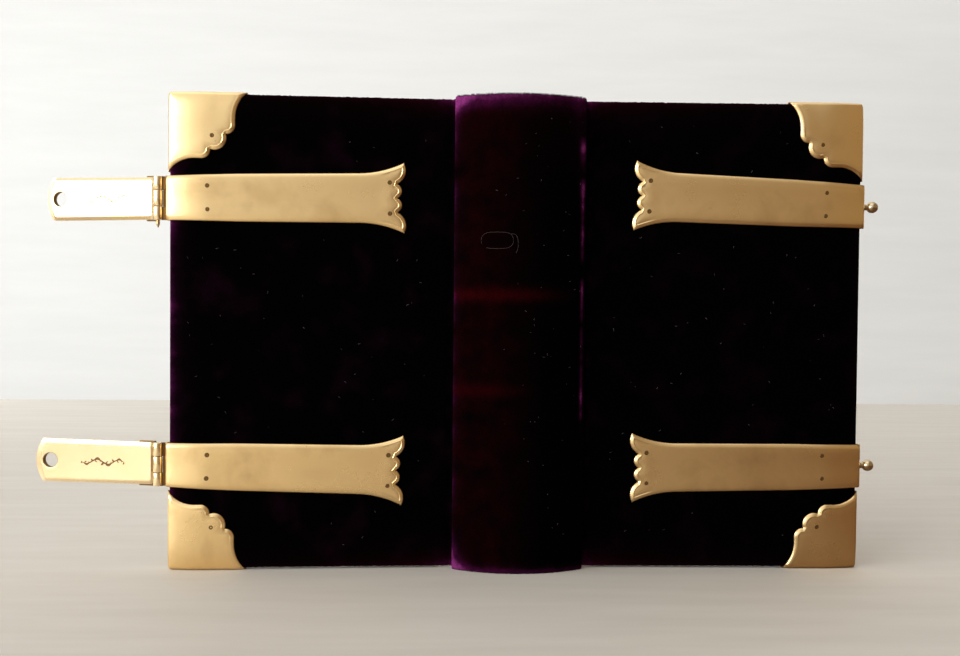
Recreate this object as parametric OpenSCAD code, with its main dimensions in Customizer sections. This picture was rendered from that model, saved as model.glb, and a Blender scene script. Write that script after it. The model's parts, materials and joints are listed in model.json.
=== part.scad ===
// Pocket prayer book in a velvet binding with gilt-brass corners and two fold-over clasps.
// It stands on its tail edge with both covers swung out flat and the spine facing -Y.
// +X is towards the front cover, +Z is towards the head. The origin is the middle of the
// spine's tail edge, on the surface that the book stands on. Millimetres.

/* [Covers] */
// Height of the covers over the metal corners
cover_h = 132; // [120:1:150]
// Width of a cover from its joint to the velvet fore edge
cover_w = 77.2; // [72:0.1:90]
// How far the back cover stands past flat open, in degrees
back_past_flat = 2.5; // [0:0.1:3]
// How far the front cover stands past flat open, in degrees
front_past_flat = 1; // [0:0.1:3]
// Half the distance between the two cover joints
joint_x = 19.4; // [19.4:0.1:19.8]
// Depth of the cover joints behind the spine's crown
joint_y = 7.8; // [7.6:0.1:8.2]
// Width of the rounded bevel along a cover's fore edge
fore_bevel = 11.2; // [8:0.1:12]
// Depth that the fore-edge bevel falls away
fore_drop = 1.2; // [0.6:0.1:1.4]
// Width of the rounded bevels along a cover's head and tail
end_bevel = 7; // [4:0.5:10]
// Depth that the head and tail bevels fall away
end_drop = 0.6; // [0.3:0.1:0.8]
// Width of the velvet turned in over the inside edges
turn_in = 16.5; // [16:0.5:18]

/* [Spine] */
// Radius of the rounded velvet spine
spine_r = 31.6; // [31:0.1:33]
// Half the width of the velvet spine
spine_half_w = 18.3; // [18:0.1:18.3]

/* [Text block] */
// Number of sewn gatherings
gatherings = 13; // [13:1:13]
// Thickness of the sewn block
block_t = 30; // [28:0.5:30]
// Width of a page from fold to fore edge
page_w = 75; // [70:0.5:76]
// Height of a page
page_h = 128; // [116:0.5:128]
// Height of the block's tail above the covers' tail
tail_square = 1.5; // [1:0.1:2]
// Angle at which the free endpapers stand out from the block
flyleaf_angle = 30; // [10:1:45]
// Angle at which the first and last leaves stand out from the block
first_leaf_angle = 11; // [4:1:20]

/* [Clasps] */
// Distance of each strap's fore-edge end from the covers' head or tail
strap_inset = 29.2; // [29.2:0.1:40]
// Tilt of the upper clasp strap, its tips towards the head
upper_clasp_tilt = 0.7; // [0:0.1:3]
// Tilt of the lower clasp strap, its tips towards the tail
lower_clasp_tilt = 1.4; // [0:0.1:3]
// Tilt of the upper catch strap, its tips towards the head
upper_catch_tilt = 2.1; // [0:0.1:3]
// Tilt of the lower catch strap, its tips towards the tail
lower_catch_tilt = 0.6; // [0:0.1:3]
// Length of a strap over its pointed tips
strap_len = 65.4; // [60:0.1:66]
// Width of a strap before its tips flare
strap_neck_w = 13.8; // [13.4:0.1:14]
// Width of a strap at its middle
strap_w = 13.2; // [12.4:0.1:13.4]
// Width of a strap where it turns over the fore edge
strap_end_w = 12.2; // [12:0.1:12.4]
// Thickness of the strap plate
strap_t = 0.6; // [0.5:0.1:0.6]
// Width of a clasp leaf
leaf_w = 12; // [11.5:0.1:12]
// Thickness of a clasp leaf
leaf_t = 1.4; // [1.2:0.1:1.4]
// Radius of the hole in a clasp leaf
leaf_hole_r = 2.1; // [2.05:0.05:2.2]
// Angle that the upper leaf hangs back from its cover's plane
upper_leaf_angle = 26.5; // [0:0.5:60]
// Angle that the lower leaf hangs back from its cover's plane
lower_leaf_angle = 19.5; // [0:0.5:60]
// Distance that the upper hinge pin has slipped out
pin_slip = 1.2; // [0:0.1:3]
// Radius of a catch stud's ball
stud_r = 1.65; // [1.4:0.05:1.8]

/* [Corners] */
// Thickness of the corner plates
corner_t = 0.5; // [0.4:0.1:0.5]

/* [Hidden] */
$fn = 72;
TINY = 0.01;

// Layers of a cover, measured across it from the joint axis: the outer side is -y.
outer_face = 0.8;      // velvet outer face
inner_face = 3;        // inside face of the turned-in velvet
velvet_t = 0.6;
board_inner = 2.5;     // inside face of the board
pastedown_t = 0.3;
joint_gap = 3;         // flexible velvet between the joint axis and the board
bead_r = 0.8;          // rounded velvet edge at the joint axis
fit_gap = 0.05;        // room round parts that are let into others

// Spine layers, measured as radii from the spine's centre of curvature.
velvet_spine_t = 0.8;
lip_end_y = joint_y + 1.4;  // end of the spine velvet's turned-in edges
liner_t = 0.6;
lining_r = 29.9;
lining_t = 0.35;
tape_t = 0.3;
tape_w = 8;
fold_r = 27.95;        // circle through the gatherings' fold centres
spine_cy = spine_r - velvet_spine_t / 2;
tape_z = [24, 50.5, 77, 103.5];
band_r = 0.7;
band_gap = 0.02;       // room between a headband and the folds below it

pitch = block_t / gatherings;
gathering_t = pitch - 0.04;
flyleaf_t = 0.25;
flyleaf_x = block_t / 2 + 0.75;
first_leaf_t = 0.15;
first_leaf_x = block_t / 2 + 0.25;
leaf_pivot_y = 7.5;

// Clasp hinge, in the cover's own frame.
strap_wall = 1.2;      // wall over the fore edge, with the pile pressed under it
strap_end = cover_w + strap_wall;
barrel_r = 1.3;
barrel_out = 2.2;      // barrel axis beyond the strap's fore-edge wall
barrel_u = strap_end + barrel_out;
barrel_y = 1.8;
lug_half = 1.15;       // half the thickness of a knuckle's lug
pin_r = 0.5;
pin_tip_r = 0.15;
pin_point = 0.7;       // length of the pin's point for each millimetre of slip
bore_r = 0.56;
knuckle_mid = 4.4;
knuckle_gap = 0.12;
leaf_off = barrel_out - 0.35;   // barrel axis to the leaf's inner face
leaf_start = 2;                 // barrel axis to the start of the leaf's full width
stud_y = 1.95;
stud_out = 2.6;                 // ball centre beyond the strap's wall
neck_r = 0.9;
hook = 0.3;                     // the hole's centre sits this much short of the stud
hole_d = (joint_x - barrel_y) + (joint_x - stud_y) - hook;
leaf_len = hole_d + 4.6;
leaf_nose_r = 9.4;
closed_turn = 90;
return_len = 14;                // inside return of a strap

// Outline of a strap, measured from its pointed tips.
flare_len = 12.7;
flare_drop = 2.9;
horn_c = [-3.48, 7.67];         // centre of a horn's rounded end
horn_r = 4.08;
horn_arc = [31.4, -62.5];
lobe_c = [-2.6, 1.95];          // centre of one of the two middle lobes
lobe_r = 2.1;
lobe_arc = [66, -asin(lobe_c[1] / lobe_r)];

strap_z = [cover_h - strap_inset, strap_inset];

nail_r = 0.5;
nail_hole_r = 0.56;
nail_head_r = 0.65;
nail_proud = 0.12;
// Nails of one strap, as [distance from the fore-edge end, height from the centre line].
strap_nails = [[11.6, 3.25], [11.6, -3.25], [strap_len - 4, 4.3], [strap_len - 4, -4.3]];
corner_nail = 12.1;

velvet_colour = [0.16, 0.03, 0.13];
gilt_colour = [0.80, 0.62, 0.33];
card_colour = [0.55, 0.48, 0.38];
paper_colour = [0.93, 0.89, 0.78];
linen_colour = [0.80, 0.75, 0.62];
silk_colour = [0.62, 0.16, 0.22];

gathering_names = [for (i = [1 : gatherings]) str("gathering_", i < 10 ? "0" : "", i)];

// ---- Shared geometry ----

// Radius of the arc that falls by drop over a run that starts tangent.
function arc_r(run, drop) = (run * run + drop * drop) / (2 * drop);
// Points along an arc of radius r round the point c, from angle a[0] to a[1].
function arc(c, r, a, n = 12) = [for (i = [0 : n]) let (t = a[0] + (a[1] - a[0]) * i / n)
    [c[0] + r * cos(t), c[1] + r * sin(t)]];
// A half outline above the x axis, closed by its mirror image below.
function both_halves(half) = concat(half, [for (i = [len(half) - 1 : -1 : 0]) [half[i][0], -half[i][1]]]);
// A strap's tilt at height z: its tips lean away from the middle of the cover.
function tilt_at(z) = z > cover_h / 2 ? $tilts[0] : -$tilts[1];
function turned(p, a) = [p[0] * cos(a) - p[1] * sin(a), p[0] * sin(a) + p[1] * cos(a)];
// Depth of the circle of radius r round the spine's centre, at a distance x from the middle.
function spine_y(r, x) = spine_cy - sqrt(r * r - x * x);

// Places a piece that is drawn in a cover's own frame: +x to the fore edge, -y outwards.
module on_front_cover() {
    $tilts = [upper_catch_tilt, lower_catch_tilt];
    translate([joint_x, joint_y, 0]) rotate([0, 0, -front_past_flat]) children();
}
module on_back_cover() {
    $tilts = [upper_clasp_tilt, lower_clasp_tilt];
    mirror([1, 0, 0]) translate([joint_x, joint_y, 0]) rotate([0, 0, -back_past_flat]) children();
}

// Extrudes an outline drawn in x and z through the cover's thickness.
module through_cover(y0 = -4, y1 = 6) {
    translate([0, y1, 0]) rotate([90, 0, 0]) linear_extrude(y1 - y0) children();
}

// Section of a cover seen along z, grown by g on its outer face and by e over its fore edge.
module plan_section(g, start, e) {
    r = arc_r(fore_bevel, fore_drop);
    intersection() {
        translate([start, -outer_face - g]) square([cover_w + e - start, outer_face + g + inner_face]);
        union() {
            translate([start, -outer_face - g])
                square([cover_w - fore_bevel - start, outer_face + g + inner_face]);
            translate([cover_w - fore_bevel, r - outer_face]) circle(r + g);
        }
    }
}

// Section of a cover seen along x, with z drawn along x, grown by g on all but its inner face.
module side_section(g) {
    r = arc_r(end_bevel, end_drop);
    lo = corner_t;
    hi = cover_h - corner_t;
    intersection() {
        translate([lo - g, -outer_face - g]) square([hi - lo + 2 * g, outer_face + g + inner_face]);
        union() {
            translate([lo + end_bevel, -outer_face - g])
                square([hi - lo - 2 * end_bevel, outer_face + g + inner_face]);
            for (z = [lo + end_bevel, hi - end_bevel])
                translate([z, r - outer_face]) circle(r + g);
        }
    }
}

// The bevelled slab of a cover, grown by g, and by e over its fore edge.
module cover_slab(g, e = undef) {
    edge = e == undef ? g : e;
    reach = cover_w + edge + 1;
    intersection() {
        linear_extrude(cover_h) plan_section(g, joint_gap, edge);
        translate([reach, 0, 0]) rotate([0, -90, 0]) linear_extrude(reach) side_section(g);
    }
}

// Half the area of one scalloped corner, drawn from the corner point along x and z.
module corner_outline() {
    difference() {
        polygon([[0, 0], [23, 0], [19, 9.3], [16, 9.3], [12.8, 12.8], [9.3, 16], [9.3, 19], [0, 23]]);
        translate([7.3, 27.3]) circle(9);
        translate([28.5, 7.3]) circle(10.1);
    }
    for (p = [[9.3, 16, 2.4], [12.8, 12.8, 3], [16, 9.3, 2.4]])
        translate([p[0], p[1]]) circle(p[2]);
}

// Outline of a strap, drawn with x from its fore-edge end to its pointed tips.
module strap_outline() {
    neck = strap_neck_w / 2;
    flare_from = strap_len - flare_len;
    flare_r = arc_r(flare_len, flare_drop);
    flare_turn = asin(flare_len / flare_r);
    tip = [strap_len, 0];
    polygon(both_halves(concat(
        [[-1, strap_end_w / 2], [0, strap_end_w / 2], [20, strap_w / 2]],
        arc([flare_from, neck + flare_r], flare_r, [-90, flare_turn - 90]),
        arc(tip + horn_c, horn_r, horn_arc),
        arc(tip + lobe_c, lobe_r, lobe_arc))));
}

// Puts an outline drawn along a strap onto the cover, for the strap that ends at height z.
module along_strap(z) {
    translate([strap_end, z]) mirror([1, 0]) rotate(tilt_at(z)) children();
}

// Inside return of a strap, with a rounded end.
module return_outline(grow = 0) {
    r = strap_end_w / 2 + grow;
    polygon(both_halves(concat([[-1, r]], arc([return_len - strap_end_w / 2, 0], r, [90, 3]))));
}

// Straight rods through the cover at every nail of the two straps and two corners.
module at_nails() {
    for (z = strap_z, n = strap_nails) {
        p = turned(n, tilt_at(z));
        translate([strap_end - p[0], 0, z + p[1]]) children();
    }
    for (z = [corner_nail, cover_h - corner_nail])
        translate([cover_w + corner_t - corner_nail, 0, z]) children();
}
module nail_holes() {
    at_nails() rotate([90, 0, 0]) cylinder(r = nail_hole_r, h = 12, center = true);
}

// Where the corners' and straps' inside returns are let into the cover.
module return_recesses() {
    intersection() {
        union() {
            for (z = strap_z) through_cover(board_inner, inner_face + 1)
                along_strap(z) return_outline(fit_gap);
            for (head = [false, true]) at_corner(head) through_cover(board_inner, inner_face + 1)
                corner_outline();
        }
        translate([0, 0, -1]) cube([cover_w + 2, inner_face + 1, cover_h + 2]);
    }
}

// Draws a corner at the tail, or mirrored to the head.
module at_corner(head) {
    translate([0, 0, head ? cover_h : 0]) mirror([0, 0, head ? 1 : 0])
        translate([cover_w + corner_t, 0, 0]) mirror([1, 0, 0]) children();
}

// ---- Cover pieces, in the cover's own frame ----

module cover_board() {
    difference() {
        intersection() {
            cover_slab(-velvet_t);
            translate([joint_gap, -5, 0]) cube([cover_w, 5 + board_inner, cover_h]);
        }
        nail_holes();
    }
}

module cover_velvet() {
    lo = corner_t;
    hi = cover_h - corner_t;
    difference() {
        union() {
            cover_slab(0);
            translate([0, -bead_r, lo + 1]) cube([joint_gap + 1, 2 * bead_r, hi - lo - 2]);
            translate([0, 0, lo + 1]) cylinder(r = bead_r, h = hi - lo - 2);
        }
        intersection() {
            cover_slab(-velvet_t);
            translate([joint_gap, -5, 0]) cube([cover_w, 5 + board_inner, cover_h]);
        }
        translate([joint_gap - 1, board_inner - TINY, lo + turn_in])
            cube([cover_w - turn_in - joint_gap + 1, 2, hi - lo - 2 * turn_in]);
        return_recesses();
        nail_holes();
    }
}

module cover_pastedown() {
    lo = corner_t + turn_in + fit_gap;
    translate([joint_gap, board_inner, lo])
        cube([cover_w - turn_in - joint_gap - fit_gap, pastedown_t, cover_h - 2 * lo]);
}

module corner(head) {
    difference() {
        intersection() {
            at_corner(head) through_cover() corner_outline();
            union() {
                difference() {
                    cover_slab(corner_t);
                    cover_slab(0);
                }
                intersection() {
                    cover_slab(corner_t);
                    translate([0, board_inner + fit_gap, 0])
                        cube([cover_w + 2, inner_face - board_inner - fit_gap, cover_h]);
                }
            }
        }
        nail_holes();
    }
}

// Plate of a strap: the shaped face, the wall over the fore edge and the return inside.
module strap_plate(z) {
    difference() {
        union() {
            intersection() {
                through_cover() along_strap(z) strap_outline();
                difference() {
                    cover_slab(strap_t, strap_wall);
                    cover_slab(0);
                }
            }
            intersection() {
                through_cover(board_inner + fit_gap, inner_face) along_strap(z) return_outline();
                cover_slab(strap_t, strap_wall);
            }
        }
        nail_holes();
    }
}

// One knuckle of a clasp hinge on the barrel's axis, from z0 to z1.
module knuckle(z0, z1) {
    translate([barrel_u, barrel_y, z0]) cylinder(r = barrel_r, h = z1 - z0);
}

// Outer leaf of a clasp's hinge: the strap with its two knuckles and their lugs.
module clasp_strap(z) {
    near = knuckle_mid / 2 + knuckle_gap;
    far = leaf_w / 2;
    difference() {
        union() {
            strap_plate(z);
            for (side = [-1, 1]) {
                z0 = side > 0 ? z + near : z - far;
                knuckle(z0, z0 + far - near);
                translate([strap_end - strap_wall / 2, barrel_y - lug_half, z0])
                    cube([barrel_out + strap_wall / 2, 2 * lug_half, far - near]);
            }
        }
        translate([barrel_u, barrel_y, z - 10]) cylinder(r = bore_r, h = 20);
    }
}

// The pin of a clasp hinge, lowered by slip, with a drawn point below it.
module hinge_pin(z, slip) {
    half = leaf_w / 2;
    translate([barrel_u, barrel_y, z - half - slip]) {
        cylinder(r = pin_r, h = leaf_w);
        translate([0, 0, -slip * pin_point])
            cylinder(r1 = pin_tip_r, r2 = pin_r, h = slip * pin_point + TINY);
    }
}

// A clasp leaf in its closed place: it runs from the barrel across the fore edge, along +y.
module leaf_closed(z) {
    half = leaf_w / 2;
    difference() {
        translate([barrel_u, barrel_y, z]) union() {
            translate([0, 0, -knuckle_mid / 2]) cylinder(r = barrel_r, h = knuckle_mid);
            translate([-leaf_off, 0, -knuckle_mid / 2])
                cube([leaf_t, leaf_start + 1, knuckle_mid]);
            intersection() {
                translate([-leaf_off, leaf_start, -half]) cube([leaf_t, leaf_len - leaf_start, leaf_w]);
                translate([-leaf_off - 1, leaf_len - leaf_nose_r, 0]) rotate([0, 90, 0])
                    union() {
                        cylinder(r = leaf_nose_r, h = leaf_t + 2);
                        translate([-half, -leaf_len, 0]) cube([leaf_w, leaf_len, leaf_t + 2]);
                    }
            }
        }
        translate([barrel_u, barrel_y, z - 10]) cylinder(r = bore_r, h = 20);
        translate([barrel_u - leaf_off - 1, barrel_y + hole_d, z]) rotate([0, 90, 0])
            cylinder(r = leaf_hole_r, h = leaf_t + 2);
    }
}

// The same leaf swung out about its pin, hanging back from the cover's plane by back_angle.
module clasp_leaf(z, back_angle) {
    translate([barrel_u, barrel_y, 0]) rotate([0, 0, back_angle - closed_turn])
        translate([-barrel_u, -barrel_y, 0]) leaf_closed(z);
}

module catch_strap(z) {
    difference() {
        strap_plate(z);
        translate([strap_end - 2, stud_y, z]) rotate([0, 90, 0]) cylinder(r = neck_r, h = 4);
    }
}

module catch_stud(z) {
    translate([strap_end - strap_t, stud_y, z]) rotate([0, 90, 0]) {
        cylinder(r = neck_r, h = strap_t + stud_out);
        translate([0, 0, strap_t + stud_out]) sphere(stud_r);
    }
}

module cover_nails() {
    for (z = strap_z, n = strap_nails) {
        p = turned(n, tilt_at(z));
        translate([strap_end - p[0], 0, z + p[1]])
            nail(strap_t, n[0] < return_len ? inner_face : board_inner - fit_gap);
    }
    for (z = [corner_nail, cover_h - corner_nail])
        translate([cover_w + corner_t - corner_nail, 0, z]) nail(corner_t, inner_face);
}

// A nail from just proud of a plate of thickness t to the depth end.
module nail(t, end) {
    top = -outer_face - t;
    translate([0, end, 0]) rotate([90, 0, 0]) cylinder(r = nail_r, h = end - top);
    translate([0, top, 0]) rotate([90, 0, 0]) cylinder(r1 = nail_head_r, r2 = 0.35, h = nail_proud);
}

// ---- Spine and text block ----

// Band of the spine between two radii, out to a half width measured on the outer radius.
module spine_band(r_out, t, half_w) {
    reach = 60;
    a = asin(half_w / r_out);
    intersection() {
        translate([0, spine_cy]) difference() {
            circle(r_out);
            circle(r_out - t);
        }
        translate([0, spine_cy])
            polygon([[0, 0], [-reach * sin(a), -reach * cos(a)], [reach * sin(a), -reach * cos(a)]]);
    }
}

// The spine's velvet, with its two edges turned in beside the joints.
module spine_velvet() {
    edge_y = spine_y(spine_r, spine_half_w);
    color(velvet_colour) linear_extrude(cover_h) {
        spine_band(spine_r, velvet_spine_t, spine_half_w);
        for (side = [0, 1]) mirror([side, 0]) translate([spine_half_w - velvet_spine_t, edge_y])
            square([velvet_spine_t, lip_end_y - edge_y]);
    }
}

module spine_liner() {
    color(card_colour) translate([0, 0, 1])
        linear_extrude(cover_h - 2) spine_band(spine_r - velvet_spine_t, liner_t, 16.6);
}

module spine_lining() {
    color(linen_colour) translate([0, 0, tail_square + 5])
        linear_extrude(page_h - 10) spine_band(lining_r, lining_t, 15);
}

module sewing_tapes() {
    color(linen_colour) for (z = tape_z)
        translate([0, 0, z - tape_w / 2])
            linear_extrude(tape_w) spine_band(lining_r - lining_t, tape_t, 14.6);
}

// A stuck-on headband along the folds, centred at height z.
module band(z) {
    r = fold_r + 0.4;
    a = asin(13.6 / r);
    color(silk_colour) translate([0, spine_cy, z]) rotate([0, 0, -90 - a])
        rotate_extrude(angle = 2 * a) translate([r, 0]) circle(band_r);
}
module head_band() { band(tail_square + page_h + band_r + band_gap); }
module tail_band() { band(tail_square - band_r - band_gap); }

// Gathering number i, counted from the back cover: folded sheets, solid from fold to fore edge.
module gathering(i) {
    x = (i - (gatherings + 1) / 2) * pitch;
    color(paper_colour) translate([x, spine_y(fold_r, x), tail_square]) linear_extrude(page_h) {
        circle(gathering_t / 2);
        translate([-gathering_t / 2, 0]) square([gathering_t, page_w]);
    }
}

// A loose leaf on the front side, folded at distance x and swung out by angle.
module loose_leaf(x, t, angle) {
    color(paper_colour) translate([x, leaf_pivot_y, tail_square]) rotate([0, 0, -angle])
        linear_extrude(page_h) {
            circle(t / 2);
            translate([-t / 2, 0]) square([t, page_w - 1]);
        }
}
module front_flyleaf() { loose_leaf(flyleaf_x, flyleaf_t, flyleaf_angle); }
module back_flyleaf() { mirror([1, 0, 0]) front_flyleaf(); }
module first_leaf() { loose_leaf(first_leaf_x, first_leaf_t, first_leaf_angle); }
module last_leaf() { mirror([1, 0, 0]) first_leaf(); }

// ---- Pieces of the back cover, which carries the clasps ----

module back_board() { color(card_colour) on_back_cover() cover_board(); }
module back_velvet() { color(velvet_colour) on_back_cover() cover_velvet(); }
module back_pastedown() { color(paper_colour) on_back_cover() cover_pastedown(); }
module back_head_corner() { color(gilt_colour) on_back_cover() corner(true); }
module back_tail_corner() { color(gilt_colour) on_back_cover() corner(false); }
module upper_clasp_strap() { color(gilt_colour) on_back_cover() clasp_strap(strap_z[0]); }
module lower_clasp_strap() { color(gilt_colour) on_back_cover() clasp_strap(strap_z[1]); }
module upper_hinge_pin() { color(gilt_colour) on_back_cover() hinge_pin(strap_z[0], pin_slip); }
module lower_hinge_pin() { color(gilt_colour) on_back_cover() hinge_pin(strap_z[1], 0); }
module back_cover_nails() { color(gilt_colour) on_back_cover() cover_nails(); }
module upper_clasp_leaf() {
    color(gilt_colour) on_back_cover() clasp_leaf(strap_z[0], upper_leaf_angle);
}
module lower_clasp_leaf() {
    color(gilt_colour) on_back_cover() clasp_leaf(strap_z[1], lower_leaf_angle);
}

// ---- Pieces of the front cover, which carries the catch studs ----

module front_board() { color(card_colour) on_front_cover() cover_board(); }
module front_velvet() { color(velvet_colour) on_front_cover() cover_velvet(); }
module front_pastedown() { color(paper_colour) on_front_cover() cover_pastedown(); }
module front_head_corner() { color(gilt_colour) on_front_cover() corner(true); }
module front_tail_corner() { color(gilt_colour) on_front_cover() corner(false); }
module upper_catch_strap() { color(gilt_colour) on_front_cover() catch_strap(strap_z[0]); }
module lower_catch_strap() { color(gilt_colour) on_front_cover() catch_strap(strap_z[1]); }
module upper_catch_stud() { color(gilt_colour) on_front_cover() catch_stud(strap_z[0]); }
module lower_catch_stud() { color(gilt_colour) on_front_cover() catch_stud(strap_z[1]); }
module front_cover_nails() { color(gilt_colour) on_front_cover() cover_nails(); }

// ---- Nodes ----

spine_velvet();
spine_liner();
spine_lining();
sewing_tapes();
head_band();
tail_band();
for (i = [1 : gatherings]) gathering(i);
back_flyleaf();
front_flyleaf();
last_leaf();
first_leaf();
back_board();
back_velvet();
back_pastedown();
back_head_corner();
back_tail_corner();
upper_clasp_strap();
lower_clasp_strap();
upper_hinge_pin();
lower_hinge_pin();
back_cover_nails();
upper_clasp_leaf();
lower_clasp_leaf();
front_board();
front_velvet();
front_pastedown();
front_head_corner();
front_tail_corner();
upper_catch_strap();
lower_catch_strap();
upper_catch_stud();
lower_catch_stud();
front_cover_nails();
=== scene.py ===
"""Looks of the velvet prayer book: velvet, gilt furniture, leaves, light and camera."""
import json
import math
import random

import bmesh
import bpy
import numpy as np
from mathutils import Matrix, Vector, noise
from mathutils.geometry import delaunay_2d_cdt


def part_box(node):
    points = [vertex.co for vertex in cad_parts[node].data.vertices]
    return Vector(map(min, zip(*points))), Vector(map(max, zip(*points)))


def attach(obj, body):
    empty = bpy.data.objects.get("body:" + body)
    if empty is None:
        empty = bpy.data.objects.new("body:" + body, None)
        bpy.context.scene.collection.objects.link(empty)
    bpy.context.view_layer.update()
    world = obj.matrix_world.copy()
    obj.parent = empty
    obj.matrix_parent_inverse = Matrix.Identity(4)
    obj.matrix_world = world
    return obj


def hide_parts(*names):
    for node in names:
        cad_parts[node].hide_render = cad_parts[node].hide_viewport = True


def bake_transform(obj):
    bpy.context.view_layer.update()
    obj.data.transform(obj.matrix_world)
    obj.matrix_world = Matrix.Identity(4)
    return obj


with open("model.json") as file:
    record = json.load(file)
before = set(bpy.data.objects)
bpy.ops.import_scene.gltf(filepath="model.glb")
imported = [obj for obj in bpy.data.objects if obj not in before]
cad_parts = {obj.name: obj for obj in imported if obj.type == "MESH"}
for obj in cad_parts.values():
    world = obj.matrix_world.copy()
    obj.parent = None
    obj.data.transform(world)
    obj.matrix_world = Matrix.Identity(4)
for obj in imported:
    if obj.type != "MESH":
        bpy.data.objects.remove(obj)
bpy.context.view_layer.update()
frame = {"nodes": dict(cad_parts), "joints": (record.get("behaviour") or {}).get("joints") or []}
JOINTS = {j["name"]: j for j in frame["joints"]}
MM = 0.001
rng = random.Random(41)

# ---- Sizes in millimetres; places come from the frame ----

OUTER, INNER = -0.8, 3.0            # a cover's faces, measured from its joint axis
FORE_BEVEL, FORE_DROP = 11.2, 1.2
END_BEVEL, END_DROP = 7.0, 0.6
TURN_IN = 16.5                      # width of the velvet turned in over the inside
BOARD_GAP = 3.0                     # joint axis to the board
CORNER_T, STRAP_T = 0.5, 0.6

SPINE_R, SPINE_T = 31.6, 0.8
LINER_R_IN = 30.2
SPINE_CY = SPINE_R - SPINE_T / 2

STRAP_LEN, STRAP_WALL = 65.4, 1.2
STRAP_TILT = {"upper_clasp": 0.7, "lower_clasp": -1.4, "upper_catch": 2.1, "lower_catch": -0.6}
STRAP_HALF_END, STRAP_HALF, STRAP_HALF_NECK = 6.1, 6.6, 6.9
FLARE_LEN, FLARE_DROP = 12.7, 2.9
RETURN_LEN = 14.0
BEVEL_W = 1.1                       # width of the bevelled rim of the plates
STRAP_NAILS = ((11.6, 3.25), (11.6, -3.25), (STRAP_LEN - 4, 4.3), (STRAP_LEN - 4, -4.3))
CORNER_NAIL = 12.1                  # a corner's nail from each of its two edges

BARREL_OUT, BARREL_V, BARREL_R, BORE_R = 2.2, 1.8, 1.3, 0.56
LEAF_INNER, LEAF_OUTER = -1.85, -0.45
LEAF_START, LEAF_HALF, LEAF_NOSE_R = 2.0, 6.0, 9.4
LEAF_ROOT, LEAF_WIDE = 5.84, 6.14   # half widths of a leaf at its barrel and at its nose
LEAF_TIP = 4.6                      # hole centre to the leaf's tip
LEAF_HANG = {"upper": 1.0, "lower": -0.8}   # a leaf's lean in the play of its worn hinge, in degrees
HOLE_R, HOLE_STRETCH = 2.1, 1.14    # the hole is drawn longer along the leaf than the CAD's
HOOK = 0.3                          # the hole's centre stops this much short of the stud
KNUCKLE_MID, KNUCKLE_GAP = 4.4, 0.12
STUD_V, STUD_OUT, STUD_R, STUD_HALF = 1.95, 2.6, 1.62, 1.72

FOLD_R, PAGE_W, PAGE_H = 27.95, 75.0, 128.0
SHEETS = 5                          # folded sheets shown in one gathering
TAPE_Z = (24.0, 50.5, 77.0, 103.5)


def box_mm(node):
    lo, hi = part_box(node)
    return Vector(lo) / MM, Vector(hi) / MM


HEIGHT = box_mm("spine_velvet")[1].z
SPINE_HALF = box_mm("spine_velvet")[1].x
TAIL_Z = box_mm("gathering_07")[0].z


class Cover:
    """A cover's own frame: u to the fore edge, v inwards, z to the head, all from its joint axis."""

    def __init__(self, word, side):
        joint = JOINTS[word + "_cover_hinge"]
        self.word, self.side, self.body = word, side, word + "_cover"
        self.x, self.y = abs(joint["pos_m"][0]) / MM, joint["pos_m"][1] / MM
        self.past = math.radians(joint["range_deg"][1] - 90)
        reach = max(abs(box_mm(word + "_velvet")[0].x), abs(box_mm(word + "_velvet")[1].x))
        self.w = (reach - self.x - INNER * math.sin(self.past)) / math.cos(self.past)

    def place(self, u, v, z):
        """Points of the row frame, in metres, from arrays or numbers in the cover's frame."""
        c, s = math.cos(self.past), math.sin(self.past)
        u, v, z = np.broadcast_arrays(np.asarray(u, float), v, z)
        x = self.side * (self.x + u * c + v * s)
        y = self.y - u * s + v * c
        return np.stack([x, y, z], -1).reshape(-1, 3) * MM


BACK, FRONT = Cover("back", -1), Cover("front", 1)
STRAP_Z = {"upper": JOINTS["upper_clasp_hinge"]["pos_m"][2] / MM,
           "lower": JOINTS["lower_clasp_hinge"]["pos_m"][2] / MM}

# ---- Small tools ----


def smooth(t):
    t = np.clip(t, 0, 1)
    return t * t * (3 - 2 * t)


def arc_r(run, drop):
    return (run * run + drop * drop) / (2 * drop)


def bevel_drop(past, run, drop):
    """How far a face has fallen at a distance past the start of its rounded bevel."""
    r = arc_r(run, drop)
    past = np.clip(past, 0, run + 1)
    return r - np.sqrt(r * r - past * past)


def outer_v(cover, u, z):
    """The velvet's outer face."""
    u, z = np.asarray(u, float), np.asarray(z, float)
    ends = np.maximum(END_BEVEL - (z - CORNER_T), END_BEVEL - (HEIGHT - CORNER_T - z))
    return OUTER + bevel_drop(u - cover.w + FORE_BEVEL, FORE_BEVEL, FORE_DROP) + bevel_drop(
        ends, END_BEVEL, END_DROP)


def fbm(points, scale, octaves=3, seed=0.0):
    """Smooth noise of about -1 to 1 at points in millimetres, at a scale in millimetres."""
    out = np.empty(len(points))
    for i, p in enumerate(points):
        out[i] = noise.fractal(Vector((p[0] / scale + seed, p[1] / scale, p[2] / scale)), 1.0, 2.0, octaves)
    return out


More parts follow.
